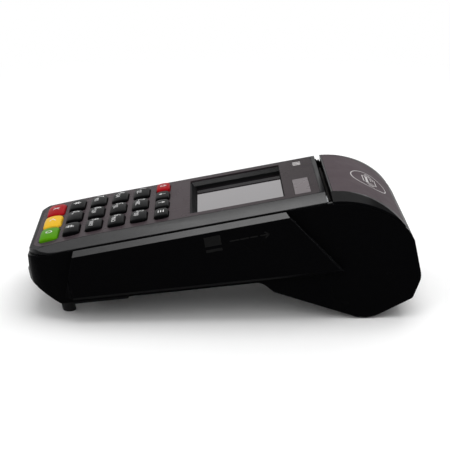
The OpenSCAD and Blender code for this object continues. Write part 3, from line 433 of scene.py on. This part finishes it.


# Near black and hardly glossy: the painted shade of the gap at the foot of the well.
well_foot_shade = moulded("well_foot_painted_shade", linear(6, 6, 7), linear(10, 10, 11), linear(22, 22, 22),
                        gloss=0.6, specular=0.05, worn=0.2)
bm = bmesh.new()
rings = []
for z, inset in ((WELL_FOOT, 0.00005), (0.0014, 0.00005), (0.0014, 0.0005), (WELL_FOOT, 0.0005)):
    slope = WELL_TAPER * (1 - (z - WELL_FOOT) / (DECK_TOP - WELL_FOOT)) + inset
    (x0, x1), (y0, y1) = WELL
    rings.append([bm.verts.new((x, y, z + 0.00003)) for x, y in (
        (x0 + slope, y0 + slope), (x1 - slope, y0 + slope), (x1 - slope, y1 - inset),
        (x0 + slope, y1 - inset))])
for ring, above in zip(rings, rings[1:] + rings[:1]):
    for i in range(4):
        bm.faces.new((ring[i], ring[(i + 1) % 4], above[(i + 1) % 4], above[i]))
bmesh.ops.recalc_face_normals(bm, faces=bm.faces)
bmesh.ops.transform(bm, matrix=deck, verts=bm.verts)
added("well_foot_shade_strip", bm, well_foot_shade, "case")

# Face panel: a printed plate with the key holes and the window, let into the deck. Its colour
# goes from neutral grey round the keys to a darker, warmer brown towards the display.
face_finish, tree = new_material("face_print")
place = add(tree, "ShaderNodeTexCoord")
along = add(tree, "ShaderNodeSeparateXYZ", links={"Vector": place.outputs["Object"]})
warm = add(tree, "ShaderNodeMapRange", {"From Min": -0.02, "From Max": 0.05},
           {"Value": along.outputs["Y"]})
brown = blend_colours(tree, warm.outputs[0], linear(60, 52, 55), linear(24, 17, 19))
skin = use(tree, grain, {"Scale": 4200.0, "Pits": 1.0, "Waves": 0.1})
touch = use(tree, handling, {"Gloss": 0.2, "Spread": 0.12, "Scale": 45.0})
tinted = blend_colours(tree, skin.outputs["Fleck"], brown, linear(58, 50, 53))
bump = add(tree, "ShaderNodeBump", {"Strength": 0.3, "Distance": 0.00003},
           {"Height": skin.outputs["Height"]})
surface = add(tree, "ShaderNodeBsdfPrincipled", {"Specular IOR Level": 0.014},
              {"Base Color": tinted, "Roughness": touch.outputs["Roughness"],
               "Normal": bump.outputs["Normal"]})
add(tree, "ShaderNodeOutputMaterial", links={"Surface": surface.outputs[0]})
ON_PANEL = 0.0002
panel = eased("face_panel", "face_plate", 0.00018,
              lambda points: all(p.z > deck_top(p.y) - ON_PANEL for p in points),
              segments=2, flat=0.2)
finished(panel, face_finish, "case")

# Swipe rail: a black moulding screwed to the shell from inside. It leaves the slot for the
# magnetic stripe, and its top is chamfered and catches the light.
rail = eased("swipe_rail", "card_rail", 0.0006)
finished(rail, black_gloss, "case")
# The up-facing chamfer gets the band's paler grey: its gloss catches the real lamp, and the paler
# colour is a painted highlight.
painted_light_by_facing(rail, grey_satin, lambda way: way.z > 0.3)

# Base plate under the chin and the rubber feet that the terminal stands on.
black_matt = moulded("black_matt", linear(15, 15, 16), linear(22, 22, 24), linear(52, 52, 54),
                     gloss=0.5, spread=0.15, specular=0.12, scale=2600.0, depth=0.00006)
plate = eased("base_plate", "chin_plate", 0.0005)
finished(plate, black_matt, "case")

rubber = moulded("foot_rubber", linear(24, 24, 25), linear(34, 34, 35), linear(60, 60, 60),
                 gloss=0.72, spread=0.1, specular=0.25, scale=1800.0, depth=0.00008)
for node, name in (("front_feet", "chin_feet"), ("rear_foot", "ridge_strip")):
    pad = eased(node, name, 0.0004)
    finished(pad, rubber, "case")

# Display: a flat glass window at the foot of the well, over a screen that is switched off.
# The glass is near black, with the screen's own edge just visible through it.
SCREEN = (0.0, 0.1001)
SCREEN_HALF = (0.0232, 0.0176)


def deck_place(tree):
    """The surface's place in the deck's frame, in metres, as separate X, Y and Z."""
    place = add(tree, "ShaderNodeTexCoord")
    turn = add(tree, "ShaderNodeMapping", {"Location": from_deck.to_translation(),
                                           "Rotation": from_deck.to_euler()},
               {"Vector": place.outputs["Object"]})
    return add(tree, "ShaderNodeSeparateXYZ", links={"Vector": turn.outputs[0]})


def near(tree, socket, middle, half, fade=0.0001):
    """1 where a coordinate lies within half of the middle, 0 outside."""
    off = add(tree, "ShaderNodeMath", {1: middle}, {0: socket}, operation="SUBTRACT")
    off = add(tree, "ShaderNodeMath", links={0: off.outputs[0]}, operation="ABSOLUTE")
    return add(tree, "ShaderNodeMapRange", {"From Min": half + fade, "From Max": half},
               {"Value": off.outputs[0]}).outputs[0]


glass, tree = new_material("screen_glass")
at = deck_place(tree)
inside_screen = add(tree, "ShaderNodeMath", operation="MULTIPLY",
                    links={0: near(tree, at.outputs["X"], SCREEN[0], SCREEN_HALF[0]),
                           1: near(tree, at.outputs["Y"], SCREEN[1], SCREEN_HALF[1])})
touch = use(tree, handling, {"Gloss": 0.02, "Spread": 0.03, "Scale": 35.0})
dark = blend_colours(tree, touch.outputs["Smear"], linear(10, 7, 9), linear(14, 10, 12))
lit = blend_colours(tree, touch.outputs["Smear"], linear(13, 13, 15), linear(17, 17, 19))
under = blend_colours(tree, inside_screen.outputs[0], dark, lit)
surface = add(tree, "ShaderNodeBsdfPrincipled",
              {"IOR": 1.52, "Coat Weight": 0.75, "Coat Roughness": 0.02,
               "Coat Tint": (1, 0.95, 0.98, 1)},
              {"Base Color": under, "Roughness": touch.outputs["Roughness"]})
add(tree, "ShaderNodeOutputMaterial", links={"Surface": surface.outputs[0]})
window = eased("display_lens", "screen_window", 0.00012, segments=2)
finished(window, glass, "case")

# Lamp window: a small pale lens beside the printer, set flush in the panel, with a dark
# gap round it. The status lamps shine through it from the board.
lamp_skin = moulded("lamp_lens", linear(84, 76, 79), linear(90, 82, 85),
                    linear(110, 102, 106), gloss=0.25, spread=0.06, specular=0.12,
                    scale=3500.0, pits=0.3, depth=0.00001, worn=0.2)
lamp = eased("status_window", "lamp_window", 0.00015, segments=2)
finished(lamp, lamp_skin, "case")

# Keys: one cap for each, moulded in rubbery plastic over the silicone mat. The crown falls
# away to the front and rear, and each cap has a flange under the panel that stops it.
KEY_FOOT = 0.00030
FLANGE = 0.0007
FLANGE_T = 0.0008
CORNER_R = 0.0022
CROWN_ALONG = 0.014
CROWN_ACROSS = 0.060
RIM_R = 0.0008
RIM_STEPS = 5
PEG_R = 0.002
PEG_T = 0.0010
PEG_DROP = 0.0003


def crown(x, y):
    """How far the top of a key lies below its middle at a place."""
    def fall(d, r):
        return r - math.sqrt(r * r - d * d)
    return fall(y, CROWN_ALONG) + fall(x, CROWN_ACROSS)


def round_upright(bm, radius, segments=6):
    """Rounds the upright edges of a block."""
    upright = [e for e in bm.edges if abs(e.verts[0].co.z - e.verts[1].co.z) > 1e-5]
    bmesh.ops.bevel(bm, geom=upright, offset=radius, offset_type="OFFSET", segments=segments,
                    profile=0.5, affect="EDGES", material=-1)


def cut_across(bm, axis, places):
    """Cuts the whole mesh by planes square to an axis."""
    for place in places:
        at = Vector((0, 0, 0))
        at[axis] = place
        way = Vector((0, 0, 0))
        way[axis] = 1
        bmesh.ops.bisect_plane(bm, geom=bm.verts[:] + bm.edges[:] + bm.faces[:],
                               dist=1e-7, plane_co=at, plane_no=way)


def top_face(bm):
    """The widest face among those that look up and lie highest."""
    return max((f for f in bm.faces if f.normal.z > 0.9),
               key=lambda f: (round(f.calc_center_median().z, 6), f.calc_area()))


def key_cap(name, cx, cy, w, l, proud, material):
    """A key: the peg on the mat, the flange, the rounded cap and its crowned top."""
    top = DECK_TOP + proud
    bm = bmesh.new()
    base = Matrix.Translation((0, 0, KEY_FOOT + FLANGE_T / 2)) @ Matrix.Diagonal(
        (w + 2 * FLANGE, l + 2 * FLANGE, FLANGE_T, 1))
    bmesh.ops.create_cube(bm, size=1, matrix=base)
    round_upright(bm, CORNER_R + FLANGE)
    bm.normal_update()
    bmesh.ops.inset_region(bm, faces=[top_face(bm)], thickness=FLANGE, use_even_offset=True)
    bm.normal_update()
    grown = bmesh.ops.extrude_face_region(bm, geom=[top_face(bm)])["geom"]
    for v in grown:
        if isinstance(v, bmesh.types.BMVert):
            v.co.z = top - RIM_R
    for i in range(RIM_STEPS):
        a, b = (math.radians(90 * k / RIM_STEPS) for k in (i, i + 1))
        bm.normal_update()
        bmesh.ops.inset_region(bm, faces=[top_face(bm)], use_even_offset=True,
                               thickness=RIM_R * (math.cos(a) - math.cos(b)),
                               depth=RIM_R * (math.sin(b) - math.sin(a)))
    cut_across(bm, 0, [w * k / 8 for k in (-2.4, -1.2, 0, 1.2, 2.4)])
    cut_across(bm, 1, [l * k / 12 for k in (-3, -1.5, 0, 1.5, 3)])
    for v in bm.verts:
        if v.co.z > KEY_FOOT + FLANGE_T + 1e-5:
            v.co.z -= crown(v.co.x, v.co.y)
    bmesh.ops.create_cone(bm, cap_ends=True, segments=24, radius1=PEG_R, radius2=PEG_R,
                          depth=PEG_T, matrix=Matrix.Translation((0, 0, KEY_FOOT - PEG_DROP)))
    smooth_faces(bm, 40)
    bmesh.ops.transform(bm, matrix=deck @ Matrix.Translation((cx, cy, 0)), verts=bm.verts)
    piece = as_piece("cap_" + name, bm)
    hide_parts("key_" + name)
    return finished(piece, material, "key_" + name)


def key_plastic(name, colour, fleck, edge, specular=0.012):
    """The keys' plastic, with hardly any gloss."""
    return moulded(name, colour, fleck, edge, gloss=0.3, spread=0.12, specular=specular,
                   scale=3800.0, pits=0.8, depth=0.00003, worn=0.4, radius=0.0005)


key_black = key_plastic("key_black", linear(8, 8, 9), linear(12, 12, 13), linear(20, 20, 21),
                        specular=0.02)
key_red = key_plastic("key_red", linear(143, 12, 20), linear(150, 20, 27), linear(165, 40, 47))
key_yellow = key_plastic("key_yellow", linear(212, 167, 40), linear(216, 173, 53),
                         linear(222, 185, 78))
key_green = key_plastic("key_green", linear(72, 130, 9), linear(79, 138, 18), linear(101, 152, 46))

# Key legends: white print on the crowns, generic digits and letters. Each is a thin skin
# of ink that follows the crown of its own key.
INK_T = 0.00006
MM = 0.001


def ink(name, thin, thick, scale):
    """Printed ink that is thinner in places."""
    material, tree = new_material(name)
    place = add(tree, "ShaderNodeTexCoord")
    spread = add(tree, "ShaderNodeTexNoise", {"Scale": scale, "Detail": 3.0},
                 {"Vector": place.outputs["Object"]})
    tone = blend_colours(tree, spread.outputs["Fac"], thin, thick)
    surface = add(tree, "ShaderNodeBsdfPrincipled",
                  {"Roughness": 0.5, "Specular IOR Level": 0.3}, {"Base Color": tone})
    add(tree, "ShaderNodeOutputMaterial", links={"Surface": surface.outputs[0]})
    return material


white_ink = ink("white_ink", linear(176, 176, 176), linear(222, 222, 222), 2600.0)


def bar(bm, start, end, width, parts=1):
    """A flat bar of ink between two points."""
    start, end = Vector(start), Vector(end)
    way = end - start
    place = (Matrix.Translation(((start.x + end.x) / 2, (start.y + end.y) / 2, 0))
             @ Matrix.Rotation(math.atan2(way.y, way.x), 4, "Z")
             @ Matrix.Diagonal((way.length, width, 1, 1)))
    bmesh.ops.create_grid(bm, x_segments=parts, y_segments=1, size=0.5, matrix=place)


def hoop(bm, across, along, width, segments):
    """A flat ring of ink, round or oval."""
    made = bmesh.ops.create_circle(bm, cap_ends=True, segments=segments, radius=1,
                                   matrix=Matrix.Diagonal((across, along, 1, 1)))
    face = made["verts"][0].link_faces[0]
    bmesh.ops.inset_region(bm, faces=[face], thickness=width, use_even_offset=True,
                           use_boundary=True)
    bmesh.ops.delete(bm, geom=[face], context="FACES")


def arrow(bm, start, end, width):
    """A plain arrow of three bars."""
    start, end = Vector(start), Vector(end)
    way = (end - start).normalized()
    side = Vector((-way.y, way.x))
    bar(bm, start, end, width)
    for turn in (1, -1):
        bar(bm, end + way * width * 0.4, end - way * width * 2.6 + side * width * 2.4 * turn, width)


def words(bm, text, height, left, low):
    """Lettering as flat faces, its lower left corner at a point."""
    curve = bpy.data.curves.new("lettering", "FONT")
    curve.body = text
    curve.size = height * 1.4
    curve.resolution_u = 3
    lettering = bpy.data.objects.new("lettering", curve)
    scene.collection.objects.link(lettering)
    bpy.context.view_layer.update()
    flat = bpy.data.meshes.new_from_object(lettering.evaluated_get(
        bpy.context.evaluated_depsgraph_get()))
    bpy.data.objects.remove(lettering)
    part = bmesh.new()
    part.from_mesh(flat)
    bmesh.ops.remove_doubles(part, verts=part.verts, dist=1e-7)
    edge = min(v.co.x for v in part.verts)
    bmesh.ops.translate(part, verts=part.verts, vec=(left - edge, low, 0))
    part.to_mesh(flat)
    part.free()
    bm.from_mesh(flat)
    bpy.data.meshes.remove(flat)


def thickened(bm):
    """Gives flat ink its thickness, upwards."""
    bm.normal_update()
    for face in bm.faces:
        if face.normal.z < 0:
            face.normal_flip()
    grown = bmesh.ops.extrude_face_region(bm, geom=bm.faces[:])
    bmesh.ops.translate(bm, verts=[v for v in grown["geom"] if isinstance(v, bmesh.types.BMVert)],
                        vec=(0, 0, INK_T))
    bmesh.ops.recalc_face_normals(bm, faces=bm.faces)


def legend(name, cx, cy, proud):
    """White marks on one key."""
    bm = bmesh.new()
    digits = {"0": "+", "1": "QZ.", "2": "ABC", "3": "DEF", "4": "GHI", "5": "JKL",
              "6": "MNO", "7": "PRS", "8": "TUV", "9": "WXY"}
    if name in digits:
        words(bm, name, 3.5 * MM, -5.5 * MM, -1.1 * MM)
        words(bm, digits[name], 2.2 * MM, -2.4 * MM, -2.1 * MM)
    elif name == "hash":
        words(bm, "#", 4.2 * MM, -1.7 * MM, -2.1 * MM)
    elif name == "star":
        for turn in range(3):
            a = math.radians(60 * turn + 30)
            d = Vector((math.cos(a), math.sin(a))) * 1.9 * MM
            bar(bm, -d, d, 0.5 * MM)
    elif name == "cancel":
        for way in (1, -1):
            bar(bm, (-1.5 * MM, -1.5 * MM * way), (1.5 * MM, 1.5 * MM * way), 0.5 * MM)
    elif name == "clear":
        for way in (1, -1):
            bar(bm, (-1.6 * MM, 0), (1.4 * MM, 1.5 * MM * way), 0.5 * MM)
    elif name == "enter":
        hoop(bm, 1.8 * MM, 1.6 * MM, 0.5 * MM, 32)
    elif name == "power":
        hoop(bm, 1.4 * MM, 1.4 * MM, 0.35 * MM, 32)
        bar(bm, (0, 0.2 * MM), (0, 1.9 * MM), 0.35 * MM)
    elif name == "back":
        arrow(bm, (0, 1.6 * MM), (0, -1.4 * MM), 0.45 * MM)
    elif name == "forward":
        arrow(bm, (0, -1.6 * MM), (0, 1.4 * MM), 0.45 * MM)
    elif name == "menu":
        for row in (-1.2, 0, 1.2):
            bar(bm, (-1.7 * MM, row * MM), (1.7 * MM, row * MM), 0.45 * MM)
    cut_across(bm, 0, [k * MM for k in range(-6, 7, 2)])
    cut_across(bm, 1, [k * 0.5 * MM for k in range(-5, 6)])
    thickened(bm)
    for v in bm.verts:
        v.co.z += DECK_TOP + proud - INK_T / 3 - crown(v.co.x, v.co.y)
    bmesh.ops.transform(bm, matrix=deck @ Matrix.Translation((cx, cy, 0)), verts=bm.verts)
    added("legend_" + name, bm, white_ink, "key_" + name)


PROUD = 0.002
FRONT_PROUD = 0.0012
COLUMN_STEP = 0.0189
ROW_STEP = 0.0108
SMALL_STEP = 0.0143
FRONT_Y, BLOCK_Y, SMALL_Y = 0.0102, 0.0210, 0.0642
FRONT_SIZE, BLOCK_SIZE, SMALL_SIZE = (0.0172, 0.0088), (0.0154, 0.0078), (0.0122, 0.0066)
FRONT_ROW = (("cancel", "red"), ("clear", "yellow"), ("enter", "green"))
BLOCK = (("star", "0", "hash"), ("7", "8", "9"), ("4", "5", "6"), ("1", "2", "3"))
SMALL_ROW = (("power", "red"), ("back", "black"), ("forward", "black"), ("menu", "black"))


def all_keys():
    """Each key's name, colour, place, size and height above the deck."""
    for i, (name, colour) in enumerate(FRONT_ROW):
        yield name, colour, COLUMN_STEP * (i - 1), FRONT_Y, *FRONT_SIZE, FRONT_PROUD
    for row, names in enumerate(BLOCK):
        for i, name in enumerate(names):
            yield (name, "black", COLUMN_STEP * (i - 1), BLOCK_Y + ROW_STEP * row,
                   *BLOCK_SIZE, PROUD)
    for i, (name, colour) in enumerate(SMALL_ROW):
        yield name, colour, SMALL_STEP * (i - 1.5), SMALL_Y, *SMALL_SIZE, PROUD


plastics = {"black": key_black, "red": key_red, "yellow": key_yellow, "green": key_green}
for name, colour, cx, cy, w, l, proud in all_keys():
    key_cap(name, cx, cy, w, l, proud, plastics[colour])
    legend(name, cx, cy, proud)

# Printer cover: a domed lid of the same black plastic, hinged at the rear, with the roller
# carried under its front lip. A brownish curved plate is let into its crown.
LID_SIDE = 0.0383
lid = eased("printer_cover", "printer_lid", 0.0004,
            lambda points: all(abs(p.x) > LID_SIDE or p.z > 0.0 for p in points))
finished(lid, black_gloss, "cover")
# The lid's rear-facing faces get the rim's paler, duller copy: painted light chosen by facing.
painted_light_by_facing(lid, rim_painted_light, lambda way: way.y > 0.5)

inlay_skin = moulded("inlay_print", linear(68, 59, 63), linear(84, 76, 79),
                     linear(92, 84, 87), gloss=0.5, spread=0.16, specular=0.03,
                     scale=4200.0, pits=1.0, depth=0.00003, worn=0.3, radius=0.0004)
inlay = eased("cover_inlay", "crown_plate", 0.0002, segments=2)
finished(inlay, inlay_skin, "cover")

# Print on the crown plate: an oval ring round a plain card sign, where a customer holds a
# card to pay. Pale grey ink, laid on the curve of the plate.
COVER_AXIS = (0.1393, -0.0357)
COVER_R = 0.0398
MARK_ANGLE = math.radians(51.8)
MARK_X = -0.0002
pale_ink = ink("pale_ink", linear(150, 146, 146), linear(205, 202, 202), 1800.0)
bm = bmesh.new()
hoop(bm, 12.3 * MM, 9.8 * MM, 0.5 * MM, 96)
CARD_X, CARD_Y = 5 * MM, 3.4 * MM
for way in (-1, 1):
    bar(bm, (-CARD_X, CARD_Y * way), (CARD_X, CARD_Y * way), 0.45 * MM, 14)
for way in (-1, 1):
    bar(bm, (CARD_X * way, -CARD_Y), (CARD_X * way, CARD_Y), 0.45 * MM, 14)
bar(bm, (-CARD_X, 1.4 * MM), (CARD_X, 1.4 * MM), 1.3 * MM, 14)
for row, length in ((-0.9, 4.4), (-2.1, 2.6)):
    bar(bm, (-4 * MM, row * MM), ((length - 4) * MM, row * MM), 0.4 * MM, 6)
for side in (-1, 1):
    for step in (0, 1, 2):
        bar(bm, ((6.8 + step * 1.3) * side * MM, (-2.2 + 0.5 * step) * MM),
            ((6.8 + step * 1.3) * side * MM, (2.2 - 0.5 * step) * MM), 0.4 * MM, 4)
cut_across(bm, 1, [k * MM for k in range(-10, 11)])
thickened(bm)
for v in bm.verts:
    angle = MARK_ANGLE + v.co.y / COVER_R
    lift = COVER_R + v.co.z - INK_T / 3
    v.co = deck @ Vector((v.co.x + MARK_X, COVER_AXIS[0] + lift * math.cos(angle),
                          COVER_AXIS[1] + lift * math.sin(angle)))
added("card_sign", bm, pale_ink, "cover")

# Small print on the panel and the rail: a mark beside the lamps, and a card with an arrow
# that says which way to swipe it.
bm = bmesh.new()
for i, width in enumerate((1.6, 2.4, 1.6)):
    bar(bm, ((-26.1 + 2.3 * i) * MM, 129.4 * MM), ((-26.1 + 2.3 * i) * MM, 133.2 * MM),
        width * 0.7 * MM)
thickened(bm)
bmesh.ops.transform(bm, verts=bm.verts,
                    matrix=deck @ Matrix.Translation((0, 0, DECK_TOP - INK_T / 3)))
added("lamp_mark", bm, pale_ink, "case")

RAIL_FACE = 0.0437
faint_ink = moulded("faint_ink", linear(16, 16, 16), linear(24, 24, 24), linear(34, 34, 34),
                    gloss=0.5, specular=0.3, worn=0.2)
CARD_FROM, CARD_TO = 82.6 * MM, 90.2 * MM
ARROW_Z = -7.5 * MM
bm = bmesh.new()
bar(bm, (CARD_FROM, -6.0 * MM), (CARD_TO, -6.0 * MM), 4.6 * MM)
bar(bm, (CARD_FROM, -10.4 * MM), (CARD_TO, -10.4 * MM), 1.3 * MM)
for start, end in ((94, 98.5), (99, 103), (103.5, 107)):
    bar(bm, (start * MM, ARROW_Z), (end * MM, ARROW_Z), 0.6 * MM)
arrow(bm, (108.2 * MM, ARROW_Z), (112 * MM, ARROW_Z), 0.6 * MM)
thickened(bm)
on_side = Matrix(((0, 0, 1, 0), (1, 0, 0, 0), (0, 1, 0, 0), (0, 0, 0, 1)))
bmesh.ops.transform(bm, verts=bm.verts,
                    matrix=deck @ Matrix.Translation((RAIL_FACE - INK_T / 3, 0, 0)) @ on_side)
added("swipe_mark", bm, faint_ink, "case")

# Paper roll: thermal paper wound on a card tube. The rings of the winding show on its ends.
ROLL_AXIS = (("Y", 0.1515), ("Z", -0.0336))
WINDINGS = 9000.0
paper, tree = new_material("thermal_paper")
at = deck_place(tree)
off = add(tree, "ShaderNodeCombineXYZ", {"X": 0.0})
for axis, middle in ROLL_AXIS:
    part = add(tree, "ShaderNodeMath", {1: middle}, {0: at.outputs[axis]}, operation="SUBTRACT")
    tree.links.new(part.outputs[0], off.inputs[axis])
out = add(tree, "ShaderNodeVectorMath", operation="LENGTH", links={0: off.outputs[0]})
turns = add(tree, "ShaderNodeMath", {1: WINDINGS}, {0: out.outputs["Value"]},
            operation="MULTIPLY")
rings = add(tree, "ShaderNodeMath", operation="SINE", links={0: turns.outputs[0]})
ring = add(tree, "ShaderNodeMapRange", {"From Min": -1.0, "From Max": 1.0},
           {"Value": rings.outputs[0]})
sheet = blend_colours(tree, ring.outputs[0], linear(226, 226, 222), linear(246, 246, 243))
bump = add(tree, "ShaderNodeBump", {"Strength": 0.4, "Distance": 0.00005},
           {"Height": ring.outputs[0]})
surface = add(tree, "ShaderNodeBsdfPrincipled", {"Roughness": 0.6, "Specular IOR Level": 0.3},
              {"Base Color": sheet, "Normal": bump.outputs["Normal"]})
add(tree, "ShaderNodeOutputMaterial", links={"Surface": surface.outputs[0]})


def dress(material, *nodes):
    """Gives CAD nodes that stay their material."""
    for node in nodes:
        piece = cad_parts[node]
        for place in piece.material_slots:
            place.material = material


dress(paper, "paper_roll")

# Printer works and metal parts: a moulded frame and tear bar, a steel motor and spring, an
# aluminium heat sink, a brass pinion, acetal gears and a rubber roller.
STREAKS = (1, 30, 30)


def metal(name, colour, streak, roughness, spread):
    """Rolled or turned metal with fine streaks."""
    material, tree = new_material(name)
    place = add(tree, "ShaderNodeTexCoord")
    drawn = add(tree, "ShaderNodeMapping", {"Scale": STREAKS}, {"Vector": place.outputs["Object"]})
    streaks = add(tree, "ShaderNodeTexNoise", {"Scale": 300.0, "Detail": 4.0},
                  {"Vector": drawn.outputs[0]})
    touch = use(tree, handling, {"Gloss": roughness, "Spread": spread})
    tone = blend_colours(tree, streaks.outputs["Fac"], colour, streak)
    bump = add(tree, "ShaderNodeBump", {"Strength": 0.2, "Distance": 0.00002},
               {"Height": streaks.outputs["Fac"]})
    surface = add(tree, "ShaderNodeBsdfPrincipled", {"Metallic": 1.0},
                  {"Base Color": tone, "Roughness": touch.outputs["Roughness"],
                   "Normal": bump.outputs["Normal"]})
    add(tree, "ShaderNodeOutputMaterial", links={"Surface": surface.outputs[0]})
    return material


steel = metal("rolled_steel", linear(168, 170, 174), linear(196, 198, 202), 0.28, 0.15)
aluminium = metal("cut_aluminium", linear(182, 184, 188), linear(204, 206, 208), 0.35, 0.15)
brass = metal("cut_brass", linear(196, 160, 82), linear(218, 186, 112), 0.3, 0.12)
nickel = metal("cell_nickel", linear(190, 190, 186), linear(208, 208, 204), 0.22, 0.12)
dress(steel, "head_spring", "hinge_pins", "case_screws", "board_shield",
      "stepper_motor", "magnetic_head", "data_port")
dress(aluminium, "heat_sink")
dress(brass, "motor_pinion")
dress(nickel, "coin_cell")

acetal = moulded("acetal_white", linear(226, 224, 216), linear(234, 232, 226),
                 linear(242, 240, 236), gloss=0.35, specular=0.45, depth=0.00002, worn=0.3)
dress(acetal, "reduction_gear", "platen_gear", "platen_bushings")
dress(rubber, "platen_roller")
works_black = moulded("works_black", linear(30, 30, 32), linear(40, 40, 42), linear(72, 72, 74),
                      gloss=0.5, specular=0.35, scale=2200.0)
dress(works_black, "card_reader", "speaker", "power_socket")
# The tear bar and the printer frame in near black with no gloss: painted shade of the paper slot.
slot_painted_shade = moulded("slot_painted_shade", linear(5, 5, 5), linear(9, 9, 9), linear(16, 16, 16),
                     gloss=0.6, specular=0.0, scale=2200.0, worn=0.2)
dress(slot_painted_shade, "tear_bar", "printer_frame")
ceramic = moulded("glazed_ceramic", linear(20, 17, 15), linear(26, 23, 20),
                  linear(40, 36, 33), gloss=0.45, specular=0.02, depth=0.00001, worn=0.2)
dress(ceramic, "thermal_head")

# Boards and the parts under the deck: green lacquered glass fibre with copper lines, the
# silicone mat of the keys, and a battery in a printed wrap.
lacquer, tree = new_material("green_lacquer")
place = add(tree, "ShaderNodeTexCoord")
lines = add(tree, "ShaderNodeTexBrick",
            {"Color1": linear(26, 86, 52), "Color2": linear(22, 76, 46),
             "Mortar": linear(58, 122, 72), "Scale": 260.0, "Mortar Size": 0.06,
             "Brick Width": 0.9, "Row Height": 0.35}, {"Vector": place.outputs["Object"]})
weave = add(tree, "ShaderNodeTexNoise", {"Scale": 900.0, "Detail": 2.0},
            {"Vector": place.outputs["Object"]})
tone = blend_colours(tree, weave.outputs["Fac"], lines.outputs["Color"], linear(30, 92, 58))
bump = add(tree, "ShaderNodeBump", {"Strength": 0.3, "Distance": 0.00003},
           {"Height": lines.outputs["Fac"]})
surface = add(tree, "ShaderNodeBsdfPrincipled", {"Roughness": 0.3},
              {"Base Color": tone, "Normal": bump.outputs["Normal"]})
add(tree, "ShaderNodeOutputMaterial", links={"Surface": surface.outputs[0]})
dress(lacquer, "key_board", "main_board", "antenna_board", "radio_module")

silicone = moulded("silicone", linear(196, 198, 200), linear(206, 208, 210),
                   linear(220, 221, 222), gloss=0.55, specular=0.3, scale=1600.0)
dress(silicone, "keypad_mat")
wrap = moulded("battery_wrap", linear(58, 66, 92), linear(66, 75, 102), linear(110, 118, 140),
               gloss=0.3, specular=0.45, scale=1200.0, waves=0.8)
dress(wrap, "battery_pack")
screen_body = moulded("screen_body", linear(60, 60, 64), linear(70, 70, 74), linear(110, 110, 112),
                      gloss=0.35, specular=0.45)
dress(screen_body, "display_module")

# Battery door: slides towards the nose under two ledges of the belly.
door = eased("battery_door", "belly_door", 0.0004)
finished(door, black_matt, "door")
